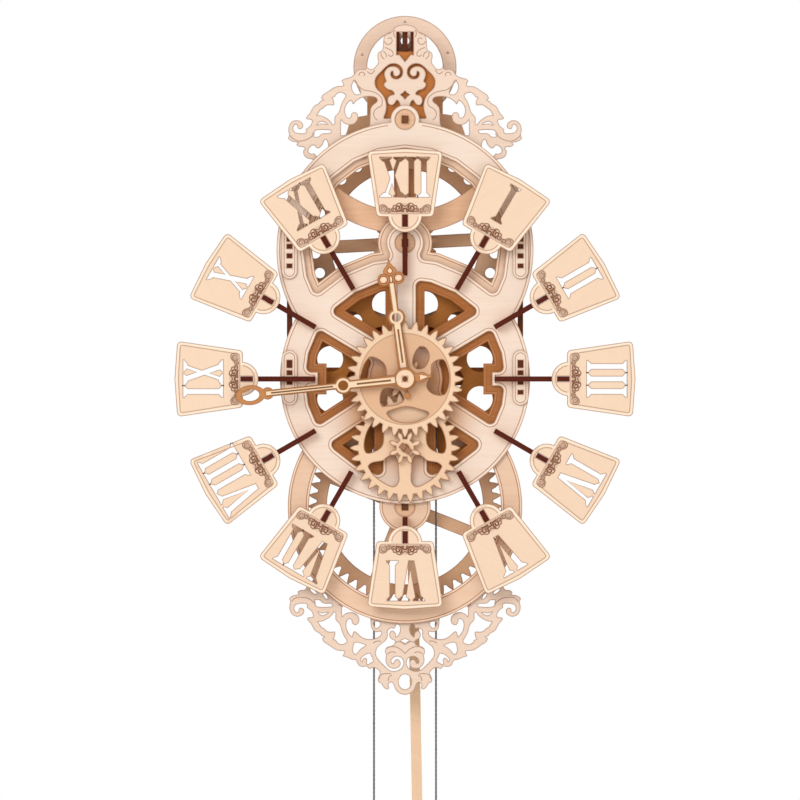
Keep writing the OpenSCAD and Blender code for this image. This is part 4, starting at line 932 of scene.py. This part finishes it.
@dataclass
class NumeralPlates:
    """The twelve plates of the dial: burnt cuts, border lines, tab arc and lace band.

    near and far are a plate's reach from the hand axis, and near_width and far_width its widths
    there. rim and line are the width and burn of the burnt cuts and of the engraved lines.
    """

    timber: Timber
    near: float = 94.0
    far: float = 133.0
    near_width: float = 33.0
    far_width: float = 44.0
    margin: float = 2.2
    near_margin: float = 1.8
    crown: float = 0.6
    corner_cut: float = 1.6
    crown_cut: float = 4.0
    corner_ease: float = 0.2
    tab_centre: float = 94.9
    tab_radius: float = 9.9
    tab_angle: float = 174.0
    lace_half: float = 14.4
    lace_core: float = 0.7
    field_burn: Point = (0.2, 0.36)
    rim: Point = (0.6, 0.9)
    line: Point = (0.8, 0.5)

    def border(self) -> list[Point]:
        """Draws the line inside a plate's four edges, with rounded corners.

        Returns:
            The closed line of the plate at the top.
        """
        half_near, half_far = self.near_width / 2 - self.margin, self.far_width / 2 - self.margin
        low, high = self.near + self.near_margin, self.far - self.margin
        corners = [(-half_near, low), (half_near, low), (half_far, high - self.crown),
                   (0.0, high + self.crown), (-half_far, high - self.crown)]
        out: list[Point] = []
        for i, (x, y) in enumerate(corners):
            cut = self.corner_cut if x else self.crown_cut
            ends: list[Point] = []
            for other in (corners[i - 1], corners[(i + 1) % len(corners)]):
                share = cut / math.dist((x, y), other)
                ends.append((x + (other[0] - x) * share, y + (other[1] - y) * share))
            (ax, ay), (bx, by) = ends
            out += [ends[0], (x + (ax + bx - 2 * x) * self.corner_ease,
                              y + (ay + by - 2 * y) * self.corner_ease), ends[1]]
        return out

    def tab_arc(self) -> list[Point]:
        """Draws the arc inside the half-round tab.

        Returns:
            The arc of the plate at the top.
        """
        r = self.tab_radius - self.margin
        first, last = math.radians(-self.tab_angle), math.radians(self.tab_angle - 180.0)
        return [(r * math.cos(a), self.tab_centre + r * math.sin(a))
                for a in np.linspace(first, last, 26)]

    def lace_field(self) -> tuple[list[Point], list[Point]]:
        """Draws the toned field under the lace.

        Returns:
            Its upper and its lower edge.
        """
        y = self.near + self.margin
        across = np.linspace(-self.lace_half, self.lace_half, 25).tolist()
        low = [(x, y + 0.2) for x in across]
        high = [(x, y + 3.2 + 2.2 * math.cos(x * 0.21) ** 2 + 0.6 * math.cos(x * 1.1))
                for x in across]
        return high, low

    def lace(self) -> list[tuple[list[Point], float, float]]:
        """Draws one half of the lace band.

        Returns:
            Its lines, each with its width and burn.
        """
        y = self.near + self.margin
        return [
            (curl(12.6, y + 2.3, 2.0, 250, -1.4), 0.8, 0.8),
            (curl(12.6, y + 2.3, 1.0, 70, -1.0, 0.6), 0.64, 0.6),
            (smooth([(14.2, y + 0.4), (14.9, y + 2.2), (14.4, y + 4.2), (12.6, y + 4.7),
                     (10.9, y + 3.7), (9.9, y + 2.4), (8.2, y + 2.0)]), 0.8, 0.75),
            (curl(9.4, y + 1.7, 1.5, 200, 1.3), 0.8, 0.8),
            (smooth([(8.2, y + 2.0), (7.0, y + 3.0), (6.6, y + 4.2), (5.2, y + 4.5), (4.2, y + 5.4),
                     (2.6, y + 5.6), (1.4, y + 4.6), (0.0, y + 3.6)]), 0.88, 0.8),
            (curl(6.4, y + 1.9, 1.4, 20, -1.2), 0.88, 0.85),
            (curl(3.9, y + 3.0, 1.9, 160, 1.3), 1.04, 0.95),
            (smooth([(5.2, y + 0.6), (4.0, y + 1.1), (2.4, y + 1.2), (1.2, y + 2.2),
                     (0.0, y + 2.6)]), 1.12, 0.95),
            (smooth([(2.9, y + 4.8), (1.9, y + 3.8), (1.2, y + 2.4)]), 1.12, 0.9),
            (curl(1.3, y + 1.3, 0.9, 90, -1.0), 0.96, 0.95),
        ]

    def build(self, nodes: Nodes) -> None:
        """Engraves every plate.

        Args:
            nodes: The frame's nodes by name.
        """
        for hour in range(1, 13):
            node, turn = f"numeral_plate_{hour:02d}", HOUR_TURN * hour
            outline = Outline(nodes[node])
            piece = Scorch(f"engraving.{node}", outline.depth)
            outline.scorch_rims(piece, *self.rim, self.margin - PALE_GAP, math.inf)
            piece.stroke(on_clock(self.border(), turn), *self.line, True)
            piece.stroke(on_clock(self.tab_arc(), turn), *self.line)
            piece.ribbon([(on_clock(edge, turn), burn) for edge, burn
                          in zip(self.lace_field(), self.field_burn)], False, 1)
            for number, (line, width, burn) in enumerate(self.lace()):
                for side in (1, -1):
                    piece.stroke(on_clock([(side * x, y) for x, y in line], turn), width, burn,
                                 level=3 + number % 4, core=self.lace_core)
            piece.make("frame", self.timber.on(node))


@dataclass
class BoardRims:
    """Scorched cuts and engraved lines on the flat boards and wheels.

    bordered gives a border line's inset. usual, narrow, line and mark_line are widths with their
    burn, for most rims, for other rims and for lines. drawn holds the scrollwork's left half.
    """

    timber: Timber
    usual: Point = (0.7, 0.8)
    line: Point = (0.6, 0.75)
    bordered: dict[str, float] = field(default_factory=lambda: {
        "front_plate": 1.8, "inner_frame": 1.6, "escutcheons": 1.5})
    narrow: dict[str, Point] = field(default_factory=lambda: {
        "minute_hand": (0.5, 0.75), "hour_hand": (0.5, 0.75), "minute_hand_inlay": (0.22, 0.5),
        "hour_hand_inlay": (0.22, 0.5), "hour_wheel": (0.8, 1.0), "minute_wheel": (0.8, 1.0),
        "minute_pinion": (0.7, 1.0)})
    drawn: dict[str, list[list[Point]]] = field(default_factory=lambda: {
        "apron_fretwork": [
            [(-10.8, -156.6), (-9, -155.6), (-6, -155.4), (-3, -156.6), (-1.4, -158), (0, -159.4)],
            [(-10.2, -159.8), (-9, -158.8), (-7.2, -158.4), (-5.4, -159)],
            [(-6, -153.2), (-4, -152.5), (-2, -152.9), (0, -154.2)],
            [(-15, -174), (-14, -171.8), (-11.6, -171), (-8, -171.2)],
            [(-9.8, -175.2), (-9.2, -173), (-7.6, -172)],
            [(-65.8, -129.4), (-64.4, -127.6), (-62, -126.7), (-58, -126.9), (-54.8, -128.2),
             (-52.6, -130.2), (-52, -131.6)],
            [(-18.6, -153.4), (-16.4, -152.2), (-14, -152.2)], [(-38.4, -131), (-36, -132.3)]],
        "crest_fretwork": [
            [(-67.2, 141.6), (-65, 139.5), (-62, 138.1), (-59, 138.3), (-56, 139.5), (-54, 141),
             (-53.3, 143)],
            [(-30, 173.6), (-27, 170), (-24, 167.8), (-20, 167), (-17, 166), (-14, 163.6),
             (-13.2, 161), (-13.8, 158.6), (-16.4, 157), (-18, 155), (-18, 152.4), (-16.2, 150.2)],
            [(-26.8, 176), (-26.2, 177.6), (-24.6, 178), (-23.4, 177), (-23.9, 175.8)],
            [(-22, 178.4), (-20, 177.1), (-18.6, 177.8), (-17.6, 179.3)],
            [(-13.8, 189.6), (-13.8, 187.6), (-12, 185.6)],
            [(-12.2, 196), (-10.4, 194.2), (-8.4, 194.6), (-7.4, 196.4), (-8.4, 198), (-10, 197.4)],
            [(-11.6, 192.4), (-9.6, 191.6), (-7.6, 190.4), (-6.8, 188.4), (-8.2, 187.2),
             (-9.8, 188.2)],
            [(-6, 202.6), (-6.6, 200.6), (-6, 198.4)],
            [(-12.6, 190.2), (-11, 188.6), (-10.8, 186.8)]],
    })
    marks: tuple[Point, ...] = ((0.0, 208.2), (-24.9, 189.1), (24.9, 190.2))
    mark: tuple[Point, ...] = ((-0.7, -0.5), (0.0, 0.6), (0.7, -0.5))
    mark_line: Point = (0.9, 0.9)
    rims: dict[str, str] = field(default_factory=lambda: {
        "frame": "front_plate inner_frame escutcheons wall_ring crest_fretwork apron_fretwork "
                 "rear_bridge crest_backing",
        "great": "great_wheel minute_hand minute_hand_inlay",
        "third": "third_wheel",
        "bottom": "bottom_wheel",
        "escape": "escape_wheel",
        "minute_works": "minute_wheel minute_pinion",
        "hour": "hour_wheel hour_hand hour_hand_inlay",
    })

    def build(self, nodes: Nodes, slots: dict[str, str]) -> None:
        """Makes one piece of lines for each board.

        Args:
            nodes: The frame's nodes by name.
            slots: The record's material slot of each node; not used.
        """
        for body, names in self.rims.items():
            for node in names.split():
                outline = Outline(nodes[node])
                piece = Scorch(f"engraving.{node}", outline.depth)
                inset = self.bordered.get(node, 0.0)
                width, burn = self.narrow.get(node, self.usual)
                outline.scorch_rims(piece, width, burn, max(inset - PALE_GAP, 0.0))
                if inset:
                    outline.engrave_border(piece, inset)
                for line in self.drawn.get(node, []):
                    curve = smooth(line, 4)
                    for side in (1, -1):
                        piece.stroke([(side * x, y) for x, y in curve], *self.line, level=3)
                if node == "wall_ring":
                    self.dots(piece)
                piece.make(body, self.timber.on(node))

    def dots(self, piece: Scorch) -> None:
        """Three small engraved marks on the wall ring."""
        for x, y in self.marks:
            piece.stroke([(x + dx, y + dy) for dx, dy in self.mark], *self.mark_line, True)


@dataclass
class HandLeaf:
    """The leaf of the hour hand: its two side lobes as thin boards, and its pale eyes.

    Ellipses are given by their half sizes. eye_rows gives shares of an eye's size with their burn.
    """

    timber: Timber
    turn: float = 352.0
    reach: float = 58.6
    thick: float = 1.5
    proud: float = 0.01
    lobe_x: float = 4.1
    lobe: Point = (3.9, 3.7)
    lobe_line: Point = (3.6, 3.4)
    side_eye_x: float = 4.4
    side_eye: Point = (2.3, 2.1)
    stem_eye_drop: float = 0.3
    stem_eye: Point = (0.9, 2.2)
    tip_eye: Triple = (3.0, 4.6, 7.0)
    tip_eye_half: float = 1.6
    eye_rows: tuple[Point, ...] = ((0.9, -0.7), (0.0, -1.0))
    eye_burn: float = 0.85
    lobe_burn: float = 0.6
    line_width: float = 0.6

    def lobes(self, depth: float, finish: bpy.types.Material) -> None:
        """Adds the side lobes.

        Args:
            depth: How far the hand's front face stands off the wall, in millimetres.
            finish: The hand's material.
        """
        bm = bmesh.new()
        for side in (-1, 1):
            shape = on_clock(ellipse((side * self.lobe_x, self.reach), self.lobe), self.turn)
            front, rear = ([bm.verts.new((x * MM, -d * MM, (z + HANDS_Z) * MM)) for x, z in shape]
                           for d in (depth + self.proud, depth - self.thick))
            bm.faces.new(front)
            bm.faces.new(rear[::-1])
            for i, corner in enumerate(front):
                bm.faces.new((corner, front[i - 1], rear[i - 1], rear[i]))
        mesh = closed_mesh("leaf.hour_hand", bm)
        mesh.materials.append(finish)
        leaf = stand(mesh.name, mesh)
        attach(leaf, "hour")
        log.info("piece %s: %d faces on hour", mesh.name, len(mesh.polygons))

    def eye(self, piece: Scorch, shape: list[Point], middle: Point) -> None:
        """Draws a pale eye with a dark rim.

        Args:
            piece: Where it goes.
            shape: Its closed outline before the hand's turn.
            middle: A point inside.
        """
        outer = on_clock(shape, self.turn)
        centre = np.array(on_clock([middle], self.turn))
        piece.ribbon([((centre + (outer - centre) * share).tolist(), burn)
                      for share, burn in self.eye_rows], True, 3)
        piece.stroke(outer, self.line_width, self.eye_burn, True, 4)

    def build(self, nodes: Nodes) -> None:
        """Makes the lobes and the eyes.

        Args:
            nodes: The frame's nodes by name.
        """
        depth = Outline(nodes["hour_hand"]).depth
        finish = self.timber.on("hour_hand")
        self.lobes(depth, finish)
        eyes = Scorch("eyes.hour_hand", depth)
        y = self.reach
        for side in (-1, 1):
            line = ellipse((side * self.lobe_x, y), self.lobe_line)
            eyes.stroke(on_clock(line, self.turn), self.line_width, self.lobe_burn, True)
            middle = (side * self.side_eye_x, y)
            self.eye(eyes, ellipse(middle, self.side_eye), middle)
        middle = (0.0, y - self.stem_eye_drop)
        self.eye(eyes, ellipse(middle, self.stem_eye), middle)
        low, widest, high = self.tip_eye
        drop = smooth([(0.0, y + high), (-self.tip_eye_half, y + widest), (0.0, y + low),
                       (self.tip_eye_half, y + widest), (0.0, y + high)])[:-1]
        self.eye(eyes, drop, (0.0, y + widest))
        eyes.make("hour", finish)


@dataclass
class PinionPegs:
    """The two brown square pegs in the pinion of the motion work."""

    timber: Timber
    centre: Point = (0.3, -40.5)
    slope: float = -38.0
    half: float = 1.8
    apart: float = 1.9
    rings: tuple[Point, ...] = ((1.0, 1.0), (0.78, 0.78), (0.05, 0.78))

    def build(self, nodes: Nodes) -> None:
        """Draws the pegs on whichever end stands foremost.

        Args:
            nodes: The frame's nodes by name.
        """
        end = max(Outline(nodes[name]).depth for name in ("minute_pinion", "minute_stud"))
        pegs = Scorch("pegs.minute_pinion", end)
        c, s = math.cos(math.radians(self.slope)), math.sin(math.radians(self.slope))
        for way in (-self.apart, self.apart):
            x, y = self.centre[0] + way * c, self.centre[1] + way * s
            pegs.ribbon([([(x + self.half * share * (a * c - b * s),
                            y + self.half * share * (a * s + b * c))
                           for a, b in ((-1, -1), (-1, 1), (1, 1), (1, -1))], burn)
                         for share, burn in self.rings], True, 2)
        pegs.make("minute_works", self.timber.on("minute_pinion"))


@dataclass
class Chain:
    """Link chain made by geometry nodes: two straight runs and the half loop over the wheel.

    wire is the radius of the links' wire, and overlap the share of it by which a link reaches past
    half the pitch to each side.
    """

    timber: Timber
    depth: float = 39.0
    radius: float = 18.0
    pitch: float = 2.5
    wire: float = 0.3
    overlap: float = 0.8
    width: float = 1.5
    sides: int = 5
    bend_steps: int = 4
    loop_points: int = 41
    runs: tuple[tuple[int, str, str], ...] = ((1, "chain_run_right", "weight"),
                                              (-1, "chain_run_left", "counter"))

    def link(self) -> bpy.types.Object:
        """One oval link along Z.

        Returns:
            A helper object that the tree copies.
        """
        bm = bmesh.new()
        half, bend = self.pitch / 2 + self.wire * self.overlap, self.width / 2 - self.wire
        forward = Vector((0, 1, 0))
        rings: list[list[bmesh.types.BMVert]] = []
        for end in (1, -1):
            middle = Vector((0, 0, end * (half - bend - self.wire)))
            for i in range(self.bend_steps + 1):
                a = math.pi * (i / self.bend_steps + (end < 0))
                out = Vector((math.cos(a), 0, math.sin(a)))
                turns = [2 * math.pi * j / self.sides for j in range(self.sides)]
                rings.append([bm.verts.new((middle + out * bend + self.wire * (
                    out * math.cos(b) + forward * math.sin(b))) * MM) for b in turns])
        for i, ring in enumerate(rings):
            before = rings[i - 1]
            for j in range(self.sides):
                bm.faces.new((before[j - 1], ring[j - 1], ring[j], before[j]))
        mesh = closed_mesh("link", bm)
        for polygon in mesh.polygons:
            polygon.use_smooth = True
        return bpy.data.objects.new("link", mesh)

    def tree(self) -> bpy.types.GeometryNodeTree:
        """Builds the tree that sets links along a curve, every other one turned a quarter.

        Returns:
            The tree, with inputs Path, Link, Pitch and Finish.
        """
        tree = bpy.data.node_groups.new("chain_links", "GeometryNodeTree")
        for name, kind in (("Path", "Geometry"), ("Link", "Object"), ("Pitch", "Float"),
                           ("Finish", "Material")):
            tree.interface.new_socket(name, in_out="INPUT", socket_type=f"NodeSocket{kind}")
        tree.interface.new_socket("Chain", in_out="OUTPUT", socket_type="NodeSocketGeometry")
        sheet = Sheet(tree)
        given = sheet.add("NodeGroupInput")
        spaced = sheet.add("GeometryNodeResampleCurve", {"mode": "LENGTH"},
                           {"Curve": given["Path"], "Length": given["Pitch"]})[0]
        shape = sheet.add("GeometryNodeObjectInfo", None, {"Object": given["Link"]})["Geometry"]
        number = sheet.add("GeometryNodeInputIndex")[0]
        quarter = (number * 0.5).fraction() * math.pi + math.pi / 4
        aim = sheet.add("FunctionNodeAlignEulerToVector", {"axis": "Z"},
                        {"Vector": sheet.add("GeometryNodeInputTangent")[0]})[0]
        spin = sheet.add("FunctionNodeRotateEuler",
                         {"rotation_type": "AXIS_ANGLE", "space": "LOCAL"},
                         {"Rotation": aim, "Axis": (0.0, 0.0, 1.0), "Angle": quarter})[0]
        copies = sheet.add("GeometryNodeInstanceOnPoints", None,
                           {"Points": spaced, "Instance": shape, "Rotation": spin})[0]
        real = sheet.add("GeometryNodeRealizeInstances", None, {0: copies})[0]
        dressed = sheet.add("GeometryNodeSetMaterial", None,
                            {"Geometry": real, "Material": given["Finish"]})[0]
        sheet.add("NodeGroupOutput", None, {"Chain": dressed})
        return tree

    def run(self, name: str, points: Sequence[Triple], link: bpy.types.Object,
            tree: bpy.types.GeometryNodeTree) -> bpy.types.Object:
        """Lays links along one path.

        Args:
            name: The piece's name.
            points: The path in the frame's millimetres.
            link: The link to copy.
            tree: The tree that lays it.

        Returns:
            The finished mesh object.
        """
        path = bpy.data.curves.new(name + "_path", "CURVE")
        path.dimensions = "3D"
        spline = path.splines.new("POLY")
        spline.points.add(len(points) - 1)
        for spot, (x, y, z) in zip(spline.points, points):
            spot.co = (x * MM, y * MM, z * MM, 1.0)
        carrier = stand(name + "_carrier", path)
        layer = carrier.modifiers.new("links", "NODES")
        layer.node_group = tree
        sockets = {item.name: item.identifier for item in tree.interface.items_tree}
        layer[sockets["Link"]] = link
        layer[sockets["Pitch"]] = self.pitch * MM
        layer[sockets["Finish"]] = self.timber.of(CHAIN)
        graph = bpy.context.evaluated_depsgraph_get()
        mesh = bpy.data.meshes.new_from_object(carrier.evaluated_get(graph), depsgraph=graph)
        mesh.name = name
        bpy.data.objects.remove(carrier)
        bpy.data.curves.remove(path)
        log.info("piece %s: %d faces", name, len(mesh.polygons))
        return stand(name, mesh)

    def build(self) -> None:
        """Makes the three stretches, each in place of its plain cord."""
        link, tree = self.link(), self.tree()
        for side, node, body in self.runs:
            low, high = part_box(node)
            x, y = side * self.radius, -self.depth
            top, bottom = high[2] / MM, low[2] / MM
            piece = self.run(f"links.{node}", [(x, y, top), (x, y, bottom)], link, tree)
            x * MM
            y * MM
            x * MM
            y * MM
            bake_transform(piece)
            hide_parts(node)
        arc = [(self.radius * math.cos(a), -self.depth, HANDS_Z + self.radius * math.sin(a))
               for a in np.linspace(0, math.pi, self.loop_points)]
        loop = self.run("links.chain_loop", arc, link, tree)
        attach(loop, "frame")
        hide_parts("chain_loop")
        bpy.data.objects.remove(link)


@dataclass(frozen=True)
class Lamp:
    """One square lamp: its place and side in metres, its power in watts and its colour."""

    name: str
    place: Triple
    side: float
    power: float
    colour: Triple

    def hang(self, target: Triple) -> None:
        """Hangs the lamp and turns it towards a point.

        Args:
            target: The point, in metres.
        """
        data = bpy.data.lights.new(self.name, "AREA")
        data.shape = "SQUARE"
        data.size, data.energy, data.color = self.side, self.power, self.colour
        lamp = stand(self.name, data)
        lamp.location = self.place
        aim = Vector(target) - Vector(self.place)
        lamp.rotation_euler = aim.to_track_quat("-Z", "Y").to_euler()


@dataclass
class Studio:
    """White floor, soft lamps, and the camera at the photograph's angle.

    scale is in millimetres for each of the image's pixels, centre is the point in the middle of the
    image, in the frame's millimetres, sensor is in millimetres, and other lengths are in metres.
    """

    scale: float = 0.58
    image: int = 800
    centre: Point = (-2.9, -209.2)
    distance: float = 12.0
    dial_depth: float = 0.055
    sensor: float = 36.0
    sight: float = 50.0
    floor: float = -1.05
    floor_half: float = 4.0
    floor_colour: Colour = (0.86, 0.85, 0.84, 1.0)
    surround: Colour = (1.0, 0.9, 0.8, 1.0)
    surround_strength: float = 0.46
    target: Triple = (0.0, -0.03, -0.2)
    lamps: tuple[Lamp, ...] = (
        Lamp("key_lamp", (-0.9, -2.6, 0.7), 1.2, 31.0, (0.985, 0.99, 1.0)),
        Lamp("fill_lamp", (0.5, -3.0, -0.2), 2.0, 25.0, (0.99, 0.99, 1.0)))

    def white(self) -> bpy.types.Material:
        """A matt white that the camera sees as pure white.

        Returns:
            The material of the floor.
        """
        material = bpy.data.materials.new("studio_white")
        sheet = Sheet.of(material)
        ray = sheet.add("ShaderNodeLightPath")
        matt = sheet.add("ShaderNodeBsdfDiffuse", None, {"Color": self.floor_colour})[0]
        glow = sheet.add("ShaderNodeEmission", None, {"Color": WHITE, "Strength": 1.0})[0]
        seen = ray["Is Camera Ray"].larger(ray["Is Glossy Ray"]).larger(ray["Is Transmission Ray"])
        sheet.choose("ShaderNodeOutputMaterial", seen, matt, glow)
        return material

    def lay_floor(self) -> None:
        """Adds the floor, which isn't part of the object."""
        wide, z = self.floor_half, self.floor
        mesh = bpy.data.meshes.new("floor")
        mesh.from_pydata([(-wide, -wide, z), (wide, -wide, z), (wide, wide, z), (-wide, wide, z)],
                         [], [(0, 1, 2, 3)])
        mesh.materials.append(self.white())
        stand("floor", mesh)

    def light(self) -> None:
        """Hangs the lamps and lights the surround, which the camera sees as pure white."""
        for lamp in self.lamps:
            lamp.hang(self.target)
        world = bpy.data.worlds.new("surround")
        bpy.context.scene.world = world
        sheet = Sheet.of(world)
        glow = sheet.add("ShaderNodeBackground", None,
                         {"Color": self.surround, "Strength": self.surround_strength})[0]
        seen = sheet.add("ShaderNodeBackground", None, {"Color": WHITE})[0]
        sheet.choose("ShaderNodeOutputWorld", sheet.add("ShaderNodeLightPath")["Is Camera Ray"],
                     glow, seen)

    def aim_camera(self) -> None:
        """Sets the camera in front of the dial, so that a pixel at the dial has the given scale."""
        data = bpy.data.cameras.new("camera")
        data.sensor_width = self.sensor
        data.lens = self.sensor * self.distance / (self.scale * self.image * MM)
        data.clip_end = self.sight
        camera = stand("camera", data)
        x, z = self.centre
        camera.location = (x * MM, -self.distance - self.dial_depth, z * MM)
        camera.rotation_euler = (math.pi / 2, 0.0, 0.0)
        scene = bpy.context.scene
        scene.camera = camera
        scene.view_settings.view_transform = "Standard"
        log.info("camera at %s with a %.0f mm lens", tuple(camera.location), data.lens)

    def build(self) -> None:
        """Sets up the floor, the light and the camera."""
        self.lay_floor()
        self.light()
        self.aim_camera()


def main() -> None:
    """Builds the finishes, the engraved pieces, the chain and the studio in order."""
    logging.basicConfig(level=logging.INFO, format="%(name)s: %(message)s")
    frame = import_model()
    nodes = frame["nodes"]
    slots = {part["node"]: part["material_slot"] for part in frame["record"]["subparts"]}
    timber = Timber()
    timber.dress(nodes)
    NumeralPlates(timber).build(nodes)
    BoardRims(timber).build(nodes, slots)
    HandLeaf(timber).build(nodes)
    PinionPegs(timber).build(nodes)
    Chain(timber).build()
    Studio().build()


if __name__ == "__main__":
    main()
